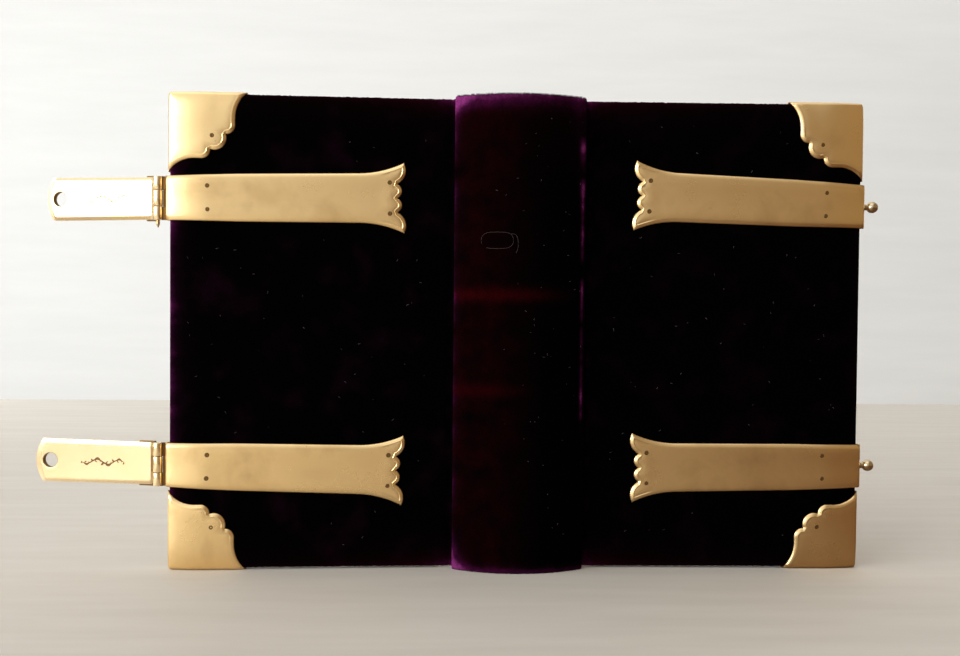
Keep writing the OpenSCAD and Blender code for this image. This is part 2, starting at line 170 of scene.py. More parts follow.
def make(name, verts, faces, body, slot, materials, replaces=(), face_material=None):
    """A mesh piece from vertices in metres; it rides on a body and stands for CAD nodes."""
    mesh = bpy.data.meshes.new(name)
    mesh.from_pydata([tuple(v) for v in verts], [], [tuple(f) for f in faces])
    mesh.validate()
    piece = bpy.data.objects.new(name, mesh)
    bpy.context.scene.collection.objects.link(piece)
    for m in materials:
        mesh.materials.append(m)
    if face_material is not None:
        mesh.polygons.foreach_set("material_index", face_material)
    tidy = bmesh.new()
    tidy.from_mesh(mesh)
    bmesh.ops.recalc_face_normals(tidy, faces=tidy.faces)
    tidy.to_mesh(mesh)
    tidy.free()
    mesh.polygons.foreach_set("use_smooth", [True] * len(mesh.polygons))
    if replaces:
        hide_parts(*replaces)
    if body:
        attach(piece, body)
    return piece


def paint(piece, name, values):
    """Stores one number for each vertex, for the material to read."""
    layer = piece.data.attributes.new(name, "FLOAT", "POINT")
    layer.data.foreach_set("value", np.asarray(values, np.float32))


def sharp_by_angle(piece, degrees):
    """Keeps edges crisp where faces meet at more than an angle."""
    mesh = bmesh.new()
    mesh.from_mesh(piece.data)
    limit = math.radians(degrees)
    for e in mesh.edges:
        e.smooth = len(e.link_faces) == 2 and e.calc_face_angle(0) < limit
    mesh.to_mesh(piece.data)
    mesh.free()


def grid_faces(rows, columns, wrap=False, start=0):
    """Quads of a grid whose vertices run row by row; wrap joins the last column to the first."""
    faces = []
    for r in range(rows - 1):
        for c in range(columns if wrap else columns - 1):
            d = (c + 1) % columns
            faces.append((start + r * columns + c, start + r * columns + d,
                          start + (r + 1) * columns + d, start + (r + 1) * columns + c))
    return faces


def shell_faces(rows, columns):
    """Faces of a closed sheet: an outer grid, an inner grid after it, and the rims between them."""
    half = rows * columns
    flat = grid_faces(rows, columns)
    edges = [(r * columns + c, (r + 1) * columns + c) for r in range(rows - 1) for c in (0, columns - 1)]
    edges += [(r * columns + c, r * columns + c + 1) for c in range(columns - 1) for r in (0, rows - 1)]
    faces = flat + [tuple(half + i for i in reversed(f)) for f in flat]
    return faces + [(a, b, half + b, half + a) for a, b in edges]


def ring_points(centre, a, b, r, count):
    """Points of a circle in the plane of the unit vectors a and b."""
    turns = [2 * math.pi * k / count for k in range(count)]
    return [centre + (a * math.cos(t) + b * math.sin(t)) * r for t in turns]


class Builder:
    """Collects vertices and faces of several parts of one piece."""

    def __init__(self):
        self.verts, self.faces, self.kinds = [], [], []

    def add(self, verts, faces, kind=0):
        start = len(self.verts)
        self.verts.extend([tuple(v) for v in verts])
        self.faces.extend([tuple(start + i for i in f) for f in faces])
        self.kinds.extend([kind] * len(faces))

    def prism(self, verts, sides, kind=0):
        """A closed solid through rings of points that follow each other."""
        last = len(verts) - sides
        ends = [tuple(range(sides)), tuple(range(last, last + sides))]
        self.add(verts, grid_faces(len(verts) // sides, sides, wrap=True) + ends, kind)

    def lathe(self, profile, centre, axis, turns=32, kind=0, closed_ring=False):
        """Turns a profile of (radius, distance along the axis) round the axis."""
        axis = Vector(axis).normalized()
        a = axis.orthogonal().normalized()
        b = axis.cross(a)
        verts = []
        for r, h in profile:
            verts += ring_points(Vector(centre) + axis * h, a, b, r, turns)
        if not closed_ring:
            self.prism(verts, turns, kind)
            return
        last = (len(profile) - 1) * turns
        faces = grid_faces(len(profile), turns, wrap=True)
        faces += [(last + k, last + (k + 1) % turns, (k + 1) % turns, k) for k in range(turns)]
        self.add(verts, faces, kind)

    def tube(self, path, radius, sides=8, kind=0, taper=None):
        """A round tube along a path of points, with closed ends."""
        path = [Vector(p) for p in path]
        verts, up = [], Vector((0, 0, 1))
        for i, p in enumerate(path):
            tangent = (path[min(i + 1, len(path) - 1)] - path[max(i - 1, 0)]).normalized()
            a = tangent.cross(up)
            a = a.normalized() if a.length > 1e-6 else tangent.orthogonal().normalized()
            b = tangent.cross(a)
            verts += ring_points(p, a, b, radius * (taper[i] if taper else 1), sides)
        self.prism(verts, sides, kind)

    def piece(self, name, body, slot, materials, **more):
        return make(name, self.verts, self.faces, body, slot, materials, face_material=self.kinds, **more)


# ---- Materials ----


class Nodes:
    """A short way to write a material's node tree."""

    def __init__(self, name, world=None):
        self.material = world or bpy.data.materials.new(name)
        self.material.use_nodes = True
        self.tree = self.material.node_tree
        self.shader = self.tree.nodes["Background" if world else "Principled BSDF"]

    def add(self, kind, inputs=None, **settings):
        node = self.tree.nodes.new(kind)
        for key, value in settings.items():
            setattr(node, key, value)
        for key, value in (inputs or {}).items():
            self.set(node.inputs[key], value)
        return node

    def set(self, socket, value):
        if isinstance(value, bpy.types.NodeSocket):
            self.tree.links.new(value, socket)
        else:
            socket.default_value = value

    def coords(self, scale=(1, 1, 1)):
        """Object coordinates in millimetres, scaled."""
        place = self.add("ShaderNodeTexCoord").outputs["Object"]
        return self.add("ShaderNodeMapping", {"Vector": place, "Scale": [s / MM for s in scale]}).outputs[0]

    def noise(self, size, detail=3.0, rough=0.55, vector=None, distortion=0.0):
        """Noise whose features are about size millimetres across."""
        return self.add("ShaderNodeTexNoise", {
            "Vector": vector or self.coords(), "Scale": 1.0 / size, "Detail": detail,
            "Roughness": rough, "Distortion": distortion}).outputs["Fac"]

    def ramp(self, value, stops):
        node = self.add("ShaderNodeValToRGB", {"Fac": value})
        ramp = node.color_ramp
        while len(ramp.elements) < len(stops):
            ramp.elements.new(0.5)
        for element, (at, colour) in zip(ramp.elements, stops):
            element.position = at
            grey = isinstance(colour, (int, float))
            element.color = (colour, colour, colour, 1) if grey else (*colour, 1)
        return node.outputs["Color"]

    def math(self, operation, a, b=0.0, clamp=False):
        return self.add("ShaderNodeMath", {0: a, 1: b}, operation=operation, use_clamp=clamp).outputs[0]

    def mix(self, factor, a, b, blend="MIX"):
        node = self.add("ShaderNodeMix", data_type="RGBA", blend_type=blend)
        self.set(node.inputs["Factor"], factor)
        for socket, value in ((node.inputs[6], a), (node.inputs[7], b)):
            self.set(socket, (*value, 1) if isinstance(value, tuple) else value)
        return node.outputs[2]

    def attribute(self, name):
        return self.add("ShaderNodeAttribute", attribute_name=name).outputs["Fac"]

    def bump(self, height, strength, distance):
        return self.add("ShaderNodeBump", {
            "Height": height, "Strength": strength, "Distance": distance * MM}).outputs["Normal"]

    def finish(self, **inputs):
        for key, value in inputs.items():
            self.set(self.shader.inputs[key.replace("_", " ")], value)
        return self.material


def velvet_material(name):
    """Silk velvet: black pile, purple where the nap is worn or pressed and as painted sheen where light
    catches the pile, red where it is thin and as painted sheen on the spine's left side.
    """
    n = Nodes(name)
    nap = n.noise(0.35, 2.0, 0.7)
    clumps = n.noise(1.6, 4.0, 0.62)
    broken = n.math("ADD", 0.45, n.math("MULTIPLY", clumps, 1.1))
    # wear_and_sheen holds worn nap and painted sheen; both turn the pile purple.
    worn_and_sheen = n.math("MULTIPLY", n.attribute("wear_and_sheen"), broken, clamp=True)
    thin = n.math("MULTIPLY", n.attribute("thin"), broken, clamp=True)
    colour = n.ramp(worn_and_sheen, [(0.0, (0.00030, 0.00002, 0.00016)), (0.12, (0.0045, 0.0005, 0.0030)),
                           (0.45, (0.036, 0.0032, 0.027)), (1.0, (0.21, 0.030, 0.165))])
    red = n.ramp(thin, [(0.0, (0.0, 0.0, 0.0)), (1.0, (0.034, 0.0003, 0.0010))])
    colour = n.mix(1.0, colour, red, "ADD")
    colour = n.mix(1.0, colour, n.ramp(nap, [(0.3, 0.6), (0.7, 1.3)]), "MULTIPLY")
    pile = n.math("ADD", nap, n.math("MULTIPLY", clumps, 0.6))
    return n.finish(Base_Color=colour, Roughness=1.0, Specular_IOR_Level=0.02, Sheen_Weight=0.035,
                    Sheen_Roughness=0.3, Sheen_Tint=(0.55, 0.10, 0.42, 1),
                    Normal=n.bump(pile, 0.35, 0.35))


def gilt_material(name, base, dull, rough=0.3):
    """Satin gilding over brass: fine brushing, thin brown tarnish and worn patches."""
    n = Nodes(name)
    patches = n.noise(14.0, 4.0, 0.55, distortion=0.25)
    fine = n.noise(0.5, 4.0, 0.7)
    brushed = n.noise(0.28, 3.0, 0.6, vector=n.coords((0.12, 1, 1)))
    spots = n.noise(1.3, 2.0, 0.5)
    tarnish = n.ramp(patches, [(0.5, 0.0), (0.78, 0.6)])
    tarnish = n.math("ADD", tarnish, n.ramp(spots, [(0.72, 0.0), (0.8, 0.4)]), clamp=True)
    # crevice_and_shade: brown tarnish in the plates' hollows, and painted shade on the clasp leaves.
    crevice_and_shade = n.math("MULTIPLY", n.attribute("crevice_and_shade"), n.ramp(fine, [(0.2, 0.55), (0.8, 1.0)]), clamp=True)
    colour = n.mix(tarnish, base, dull)
    colour = n.mix(crevice_and_shade, colour, (0.20, 0.10, 0.035))
    roughness = n.math("ADD", rough - 0.05, n.math("MULTIPLY", patches, 0.14))
    roughness = n.math("ADD", roughness, n.math("MULTIPLY", crevice_and_shade, 0.2), clamp=True)
    height = n.math("ADD", n.math("MULTIPLY", brushed, 0.35), n.math("MULTIPLY", patches, 0.8))
    return n.finish(Base_Color=colour, Metallic=1.0, Roughness=roughness, Normal=n.bump(height, 0.25, 0.12))


def paper_material(name, colour, fibre):
    """Laid rag paper with faint fibres and foxing."""
    n = Nodes(name)
    fibres = n.noise(0.6, 5.0, 0.7, vector=n.coords((1, 1, 0.25)))
    clouds = n.noise(18.0, 4.0, 0.6)
    foxing = n.ramp(n.noise(4.5, 3.0, 0.55), [(0.66, 0.0), (0.8, 0.35)])
    base = n.mix(n.ramp(clouds, [(0.35, 0.0), (0.75, 0.5)]), colour, fibre)
    base = n.mix(foxing, base, (0.42, 0.26, 0.12))
    base = n.mix(n.math("MULTIPLY", fibres, 0.16), base, (0.95, 0.9, 0.8))
    return n.finish(Base_Color=base, Roughness=0.85, Specular_IOR_Level=0.2, Normal=n.bump(fibres, 0.3, 0.12))


def edge_gilt_material():
    """Gilded leaf edges: burnished gold broken by the line of each leaf."""
    n = Nodes("page_edge_gilt")
    rub = n.ramp(n.noise(3.0, 4.0, 0.6), [(0.45, 0.0), (0.75, 0.6)])
    colour = n.mix(rub, (0.86, 0.60, 0.24), (0.62, 0.46, 0.26))
    metal = n.math("SUBTRACT", 0.95, n.math("MULTIPLY", rub, 0.6))
    return n.finish(Base_Color=colour, Metallic=metal, Roughness=0.38, Normal=n.bump(n.noise(0.4), 0.3, 0.06))


def woven_material(name, colour, dark, thread=0.45):
    """Plain weave from two crossed wave patterns."""
    n = Nodes(name)
    waves = {"Vector": n.coords(), "Scale": 1 / (thread * 6.28), "Distortion": 0.6, "Detail": 1.0}
    warp, weft = [n.add("ShaderNodeTexWave", waves, bands_direction=way).outputs["Fac"] for way in "XZ"]
    cloth = n.math("MULTIPLY", warp, weft)
    base = n.mix(n.ramp(cloth, [(0.0, 0.8), (0.6, 0.0)]), colour, dark)
    return n.finish(Base_Color=base, Roughness=0.9, Sheen_Weight=0.1, Normal=n.bump(cloth, 0.6, 0.15))


def silk_material(name, colour):
    n = Nodes(name)
    strands = n.noise(0.12, 2.0, 0.5)
    base = n.mix(n.math("MULTIPLY", strands, 0.5), colour, tuple(c * 0.45 for c in colour))
    return n.finish(Base_Color=base, Roughness=0.45, Sheen_Weight=0.3, Normal=n.bump(strands, 0.4, 0.05))


def board_material():
    n = Nodes("pasteboard")
    grain = n.noise(0.7, 5.0, 0.7)
    base = n.mix(grain, (0.30, 0.24, 0.16), (0.46, 0.38, 0.27))
    return n.finish(Base_Color=base, Roughness=0.9, Normal=n.bump(grain, 0.5, 0.2))


def plain_material(name, colour, roughness, metallic=0.0, grain=0.3):
    n = Nodes(name)
    fine = n.noise(grain, 3.0, 0.6)
    base = n.mix(n.math("MULTIPLY", fine, 0.6), colour, tuple(c * 0.55 for c in colour))
    return n.finish(Base_Color=base, Roughness=roughness, Metallic=metallic, Normal=n.bump(fine, 0.2, 0.05))


VELVET = velvet_material("silk_velvet")
GILT = gilt_material("gilt_plate", (0.95, 0.70, 0.35), (0.62, 0.40, 0.17), rough=0.27)
# A lighter, paler copy of the gilt for the leaves and knuckles: painted highlight.
LIT_LEAF_GILT = gilt_material("gilt_leaf_painted_highlight", (0.97, 0.78, 0.48), (0.82, 0.60, 0.31), rough=0.2)
# A dark copy of the gilt for the lugs and the leaves' tongues: painted shade.
SHADED_HINGE_GILT = gilt_material("gilt_hinge_painted_shade", (0.17, 0.115, 0.06), (0.07, 0.04, 0.02), rough=0.4)
# Dark oxidised brass of the nail heads, also used as painted shade on the knuckle web, the hinge plate and
# the leaf's hole and root walls.
DARK_BRASS_AND_SHADE = plain_material("nail_brass_and_painted_shade", (0.20, 0.12, 0.045), 0.5, 1.0)
PIN = plain_material("pin_brass", (0.62, 0.43, 0.2), 0.35, 1.0)
STUD = plain_material("stud_brass", (0.70, 0.58, 0.38), 0.2, 1.0)
ENGRAVED = plain_material("engraved_oxide", (0.22, 0.11, 0.035), 0.7)
PAGE = paper_material("page_paper", (0.78, 0.70, 0.54), (0.66, 0.56, 0.40))
ENDPAPER = paper_material("endpaper", (0.80, 0.75, 0.63), (0.72, 0.66, 0.52))
EDGE_GILT = edge_gilt_material()
LINEN = woven_material("linen", (0.62, 0.55, 0.42), (0.34, 0.28, 0.19))
SILKS = [silk_material("silk_red", (0.42, 0.03, 0.06)), silk_material("silk_cream", (0.75, 0.64, 0.42))]
BOARD = board_material()
LINT = plain_material("lint_fibre", (0.075, 0.055, 0.058), 0.95)
FRINGE = plain_material("pile_fringe", (0.020, 0.002, 0.015), 0.95)
THREAD = plain_material("stray_thread", (0.05, 0.032, 0.03), 0.8)

for node_name, material in (("spine_liner", BOARD), ("back_board", BOARD), ("front_board", BOARD),
                            ("spine_lining", LINEN), ("sewing_tapes", LINEN),
                            ("upper_hinge_pin", PIN), ("lower_hinge_pin", PIN)):
    cad_mesh = frame["nodes"][node_name].data
    cad_mesh.materials.clear()
    cad_mesh.materials.append(material)

# ---- Velvet of the covers ----


def cover_velvet(cover):
    """Velvet wrapped round a board and turned in, with its flexible joint to the spine."""
    low, high, edge_r = CORNER_T, HEIGHT - CORNER_T, 0.7
    joint_u = np.array([-1.15, -0.95, -0.6, -0.2, 0.3, 0.9, 1.6, 2.3, 2.8, 3.2, 3.6, 4.0])
    joint_out = np.array([-1.5, -0.95, -0.5, -0.42, -0.6, -0.76, -0.8, -0.8, -0.8, -0.8, -0.8, -0.8])
    joint_in = np.array([-0.6, -0.1, 0.35, 0.7, 0.8, 0.8, 0.8, 0.85, 1.6, 2.5, 2.9, INNER])
    flat_u = np.linspace(4.6, cover.w - edge_r - 0.3, 128)
    round_t = np.radians([0, 22, 45, 68, 90])
    round_u = cover.w - edge_r + edge_r * np.sin(round_t)
    u = np.concatenate([joint_u, flat_u, round_u])
    round_in = np.concatenate([np.zeros(len(u) - 5), edge_r * (1 - np.cos(round_t))])
    end_t = np.radians([0, 20, 42, 64, 90])
    ends = edge_r * (1 - np.cos(end_t))
    z = np.concatenate([low + ends, np.linspace(low + 1.1, high - 1.1, 210), (high - ends)[::-1]])
    uu, zz = np.meshgrid(u, z)
    border = np.minimum.reduce([cover.w - uu, zz - low, high - zz])
    window = smooth((border - TURN_IN + 0.2) / 0.9) * smooth((uu - BOARD_GAP) / 0.8)
    out = outer_v(cover, uu, zz)
    inn = np.full_like(uu, INNER) - 0.45 * window
    count = len(joint_u)
    out[:, :count] += joint_out - OUTER
    inn[:, :count] = np.minimum(joint_in, inn[:, :count])
    out += round_in
    inn -= round_in
    from_end = np.minimum(zz - low, high - zz)
    inset = np.minimum(fillet(from_end, edge_r), 0.42 * (inn - out))
    out += inset
    inn -= inset
    outer = cover.place(uu, out, zz)
    inner = cover.place(uu, inn, zz)
    verts = np.concatenate([outer, inner])
    faces = shell_faces(*uu.shape)
    half = uu.size
    # Pile: small bumps over the faces, and a fuzzier silhouette along the edges.
    mm = verts / MM
    lumps = fbm(mm, 0.9, 2)
    broad = fbm(mm, 14.0, 2, seed=5.0)
    u2, z2 = np.tile(uu.ravel(), 2), np.tile(zz.ravel(), 2)
    sign = np.concatenate([-np.ones(half), np.ones(half)])
    quiet = smooth((u2 - 0.2) / 2)
    push = (0.035 * lumps + 0.05 * broad) * quiet
    ends_mm = np.minimum(z2 - low, high - z2)
    fuzz = 0.16 * fbm(mm, 0.55, 2, seed=9.0) * np.exp(-ends_mm / 0.5)
    verts[:, 1] += sign * push * MM
    verts[:, 2] += fuzz * np.where(z2 > HEIGHT / 2, 1, -1) * MM
    # Where the nap is worn: at the joint, the fore edge and the board's edges; the purple along the head and
    # tail edges and the strong purple on the left cover's fore edge are painted sheen where light catches the
    # pile.
    at_joint = np.exp(-((u2 - 0.1) / 0.55) ** 2)
    along_z = np.stack([z2, 0 * z2, 0 * z2], -1)
    streak = np.clip(fbm(along_z, 7.0, 3, seed=2.0 + cover.side) + 0.1, 0, 1)
    left = cover.side < 0
    wear_and_sheen = (0.12 if left else 0.2) * at_joint * streak
    wear_and_sheen += (0.9 if left else 0.06) * np.exp(-(cover.w - u2) / 1.4) * (0.35 + streak)
    wear_and_sheen += 0.16 * np.exp(-ends_mm / 0.5)
    wear_and_sheen += 0.5 * np.exp(-ends_mm / 1.6) * np.exp(-np.maximum(u2, 0) / (5.0 if left else 3.0))
    wear_and_sheen += 0.10 * np.clip(fbm(mm, 9.0, 3, seed=3.0) - 0.12, 0, 1) * (1.0 if left else 0.6)
    thin = 0.25 * np.exp(-ends_mm / 2.5) * np.exp(-np.maximum(u2, 0) / 30)
    piece = make(cover.word + "_velvet_skin", verts, faces, None, "velvet", [VELVET],
                 replaces=[cover.word + "_velvet"])
    paint(piece, "wear_and_sheen", np.clip(wear_and_sheen, 0, 1))
    paint(piece, "thin", np.clip(thin, 0, 1))
    start = cover.place(-1.1, 0, HEIGHT / 2)[0]
    end = cover.place(1.3, 0, HEIGHT / 2)[0]
    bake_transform(piece)


def spine_velvet():
    """The rounded velvet spine, turned in at its sides and rolled over at head and tail."""
    roll = 0.85
    lip_y = 8.3
    a_edge = math.asin((SPINE_HALF - 0.35) / SPINE_R)
    angles = np.linspace(-a_edge, a_edge, 96)
    arc_x = SPINE_R * np.sin(angles)
    arc_y = SPINE_CY - SPINE_R * np.cos(angles)
    side_y = np.array([lip_y, 7.4, 6.5, 5.9])
    shoulder = np.array([[SPINE_HALF, 5.55], [SPINE_HALF - 0.1, 5.32]])
    x = np.concatenate([[-SPINE_HALF] * 4, -shoulder[:, 0], arc_x, shoulder[::-1, 0], [SPINE_HALF] * 4])
    y = np.concatenate([side_y, shoulder[:, 1], arc_y, shoulder[::-1, 1], side_y[::-1]])
    tx, ty = np.gradient(x), np.gradient(y)
    length = np.hypot(tx, ty)
    nx, ny = -ty / length, tx / length
    end_t = np.radians([0, 18, 36, 54, 72, 90])
    ends = roll * (1 - np.cos(end_t))
    z = np.concatenate([ends, np.linspace(roll + 0.35, HEIGHT - roll - 0.35, 210), (HEIGHT - ends)[::-1]])
    xx, zz = np.meshgrid(x, z)
    yy = np.meshgrid(y, z)[0]
    from_end = np.minimum(zz, HEIGHT - zz)
    capped = smooth((1.3 - from_end) / 0.5)
    depth = SPINE_T + (SPINE_R - SPINE_T - LINER_R_IN) * capped
    shallow = 0.35 * fillet(from_end, roll)
    outer = np.stack([xx + nx * shallow, yy + ny * shallow, zz], -1).reshape(-1, 3)
    inner = np.stack([xx + nx * (depth - shallow), yy + ny * (depth - shallow), zz], -1).reshape(-1, 3)
    verts = np.concatenate([outer, inner])
    faces = shell_faces(*xx.shape)
    half = xx.size
    mm = verts.copy()
    x2, z2 = mm[:, 0], mm[:, 2]
    near = np.minimum(z2, HEIGHT - z2)
    lumps = fbm(mm, 0.9, 2, seed=1.0)
    broad = fbm(mm, 10.0, 2, seed=7.0)
    normal = np.tile(np.stack([nx, ny], -1), (2 * len(z), 1))
    sign = np.concatenate([-np.ones(half), np.ones(half)])
    push = (0.035 * lumps + 0.05 * broad) * sign
    verts[:, 0] += push * normal[:, 0]
    verts[:, 1] += push * normal[:, 1]
    fuzz = fbm(mm, 0.6, 3, seed=4.0)
    lift = np.exp(-near / 0.6) * (0.22 * fuzz - 0.12)
    verts[:, 2] += np.where(z2 > HEIGHT / 2, 1, -1) * np.minimum(lift, 0)
    # Purple nap: bright rims at head and tail, painted sheen where light catches the rolled pile; patches at
    # the left corners, worn and with painted sheen; a broken right edge of worn nap.
    head, tail = HEIGHT - z2, z2
    across = (x2 + SPINE_HALF) / (2 * SPINE_HALF)
    drift = fbm(np.stack([x2, 0 * x2, z2], -1), 5.0, 2, seed=13.0)
    head_rim = 2.1 - 0.9 * across + 0.5 * drift
    wear_and_sheen = (0.55 - 0.2 * across) * np.exp(-(head / head_rim) ** 2)
    tail_rim = 1.7 - 0.5 * across + 0.4 * drift
    wear_and_sheen += (0.50 - 0.2 * across) * np.exp(-(tail / tail_rim) ** 2)
    left = np.maximum(x2 + SPINE_HALF, 0)
    wear_and_sheen += 0.55 * np.exp(-((left + 0.55 * np.maximum(head - 2, 0)) / 3.6) ** 2) * np.exp(-head / 9.0)
    wear_and_sheen += 0.7 * np.exp(-((left + 0.5 * np.maximum(tail - 2, 0)) / 3.4) ** 2) * np.exp(-tail / 8.0)
    wear_and_sheen += 0.28 * np.exp(-((head - 2.2) / 2.2) ** 2) * (1 - 0.5 * across)
    line = np.stack([z2, 0 * z2, 0 * z2], -1)
    streak = np.clip(1.3 * fbm(line, 9.0, 3, seed=6.0) + 0.45 + 0.4 * smooth((z2 - 96) / 10), 0, 1)
    streak *= smooth((z2 - 36) / 10) * smooth((122 - z2) / 4)
    right = SPINE_HALF - x2
    width = 0.45 + 0.5 * smooth((z2 - 100) / 12)
    wear_and_sheen += 0.85 * np.exp(-((right - 0.9) / width) ** 2) * streak
    wear_and_sheen += 0.30 * np.exp(-((right - 2.0) / 2.2) ** 2) * np.exp(-head / 6.0)
    broken = np.clip(fbm(line, 9.0, 2, seed=3.0) + 0.4 + 0.4 * np.exp(-head / 20), 0, 1)
    wear_and_sheen += 0.42 * np.exp(-left / 0.8) * broken
    # Red: painted sheen over the left part of the spine and just below the head, and thin pile over two
    # sewing tapes.
    fade = smooth((0.72 - across) / 0.5)
    thin = 0.13 * fade * (0.7 + 0.6 * drift) + 0.1 * np.exp(-head / 8)
    for band_z, strength, reach in ((TAPE_Z[2], 0.42, 0.98), (TAPE_Z[1], 0.28, 0.7)):
        thin += strength * np.exp(-((z2 - band_z) / 1.7) ** 2) * smooth((reach - across) / 0.6)
    piece = make("spine_velvet_skin", verts * MM, faces, "text_block", "velvet", [VELVET],
                 replaces=["spine_velvet"])
    paint(piece, "wear_and_sheen", np.clip(wear_and_sheen, 0, 1))
    paint(piece, "thin", np.clip(thin, 0, 1))


# ---- Gilt plates ----


def path_line(p, q, step=0.4):
    count = max(1, int(math.dist(p, q) / step))
    return [(p[0] + (q[0] - p[0]) * i / count, p[1] + (q[1] - p[1]) * i / count) for i in range(count)]


def path_arc(centre, r, start, end, step=0.3):
    count = max(3, int(abs(math.radians(end - start)) * r / step))
    turns = [math.radians(start + (end - start) * i / count) for i in range(count + 1)]
    return [(centre[0] + r * math.cos(t), centre[1] + r * math.sin(t)) for t in turns]


def clean(path, gap=0.06):
    kept = [path[0]]
    for p in path[1:]:
        if math.dist(p, kept[-1]) > gap:
            kept.append(p)
    return kept


def distance(points, path):
    """Distance of each point to an open path."""
    points, path = np.asarray(points, float), np.asarray(path, float)
    a, d = path[:-1], np.diff(path, axis=0)
    length = np.maximum((d * d).sum(1), 1e-12)
    best = np.full(len(points), 1e9)
    for start in range(0, len(points), 2000):
        p = points[start:start + 2000, None, :] - a
        t = np.clip((p * d).sum(2) / length, 0, 1)
        gap = np.hypot(*np.moveaxis(p - t[..., None] * d, 2, 0))
        best[start:start + 2000] = gap.min(1)
    return best


def inside(points, loop):
    points, loop = np.asarray(points, float), np.asarray(loop, float)
    nxt = np.roll(loop, -1, axis=0)
    hit = np.zeros(len(points), bool)
    for (x0, y0), (x1, y1) in zip(loop, nxt):
        crosses = (y0 > points[:, 1]) != (y1 > points[:, 1])
        if y1 != y0:
            hit ^= crosses & (points[:, 0] < (x1 - x0) * (points[:, 1] - y0) / (y1 - y0) + x0)
    return hit


def across(tangent):
    """Unit normals, to the left of each tangent."""
    normal = np.stack([-tangent[:, 1], tangent[:, 0]], -1)
    return normal / np.maximum(np.hypot(*normal.T), 1e-9)[:, None]


def loop_rows(loop, d):
    """Points at a distance on both sides of a closed loop."""
    ring = np.asarray(loop)
    normal = across(np.roll(ring, -1, axis=0) - np.roll(ring, 1, axis=0))
    return ring + normal * d, ring - normal * d


def pairs(points):
    return [(float(p[0]), float(p[1])) for p in points]


def staggered(loop, spacing):
    """A staggered grid of points over the loop's extent."""
    low, high = np.min(loop, axis=0), np.max(loop, axis=0)
    gx, gy = np.meshgrid(np.arange(low[0], high[0], spacing), np.arange(low[1], high[1], spacing))
    gx[1::2] += spacing / 2
    return np.stack([gx.ravel(), gy.ravel()], -1)


def triangulate(chosen, free, wrap, hole=()):
    """Triangles over the chosen points, which start with the loop of free and wrap.

    Returns points, triangles, and the indexes of the wrap path's points and of the hole's."""
    loop = free + wrap[1:-1]
    first = len(chosen)
    edges = [(i, (i + 1) % len(loop)) for i in range(len(loop))]
    edges += [(first + i, first + (i + 1) % len(hole)) for i in range(len(hole))]
    result = delaunay_2d_cdt([Vector(p) for p in chosen + list(hole)], edges, [], 0, 1e-5)
    points, triangles, origin = result[0], result[2], result[3]
    middles = np.array([sum((points[i] for i in t), Vector((0, 0))) / 3 for t in triangles])
    keep = inside(middles, loop)
    if hole:
        keep &= ~inside(middles, hole)
    triangles = [t for t, k in zip(triangles, keep) if k]
    place = {o: new for new, old in enumerate(origin) for o in old}
    wrap_index = [place[len(free) - 1]] + [place[len(free) + i] for i in range(len(wrap) - 2)] + [place[0]]
    hole_index = [place[first + i] for i in range(len(hole))]
    return np.array([tuple(p) for p in points]), triangles, wrap_index, hole_index


def fill(free, wrap, levels, spacing, hole):
    """Mesh of a leaf's face, with rows of points along its outline and its hole.

    free and wrap are open paths that share their ends."""
    loop = free + wrap[1:-1]
    closed = loop + free[:1]
    chosen = list(loop)

    def clear(points, gap):
        good = inside(points, loop) & (distance(points, closed) > gap)
        return good & ~inside(points, hole) & (distance(points, hole + hole[:1]) > gap)

    for d in levels:
        for ring in (loop, hole):
            last = None
            for row in loop_rows(ring, d):
                for p, keep in zip(row, clear(row, d * 0.97)):
                    if keep and (last is None or math.dist(p, last) > 0.22):
                        chosen.append((float(p[0]), float(p[1])))
                        last = p
    grid = staggered(loop, spacing)
    chosen += pairs(grid[clear(grid, max(levels) + spacing * 0.5)])
    return triangulate(chosen, free, wrap, hole)


PLATE_LEVELS = (0.12, 0.3, 0.5, 0.72, 0.95, 1.15, 1.45, 1.9)


def rim_height(d, full, crisp):
    """Height of a plate above the velvet at a distance from its free edge.

    The rim is a soft bevel; crisp adds the chased line inside the lobes, from 0 to 1."""
    t = np.clip(d / BEVEL_W, 0, 1)
    height = 0.26 + (full - 0.26) * np.sin(t * math.pi / 2) - 0.16 * (1 - np.clip(d / 0.22, 0, 1)) ** 2
    chased = 0.06 * np.exp(-((d - 0.92) / 0.24) ** 2) - 0.11 * np.exp(-((d - 1.26) / 0.17) ** 2)
    return height + crisp * chased


def fillet(e, r):
    e = np.clip(e, 0, r)
    return r - np.sqrt(np.maximum(r * r - (r - e) ** 2, 0))


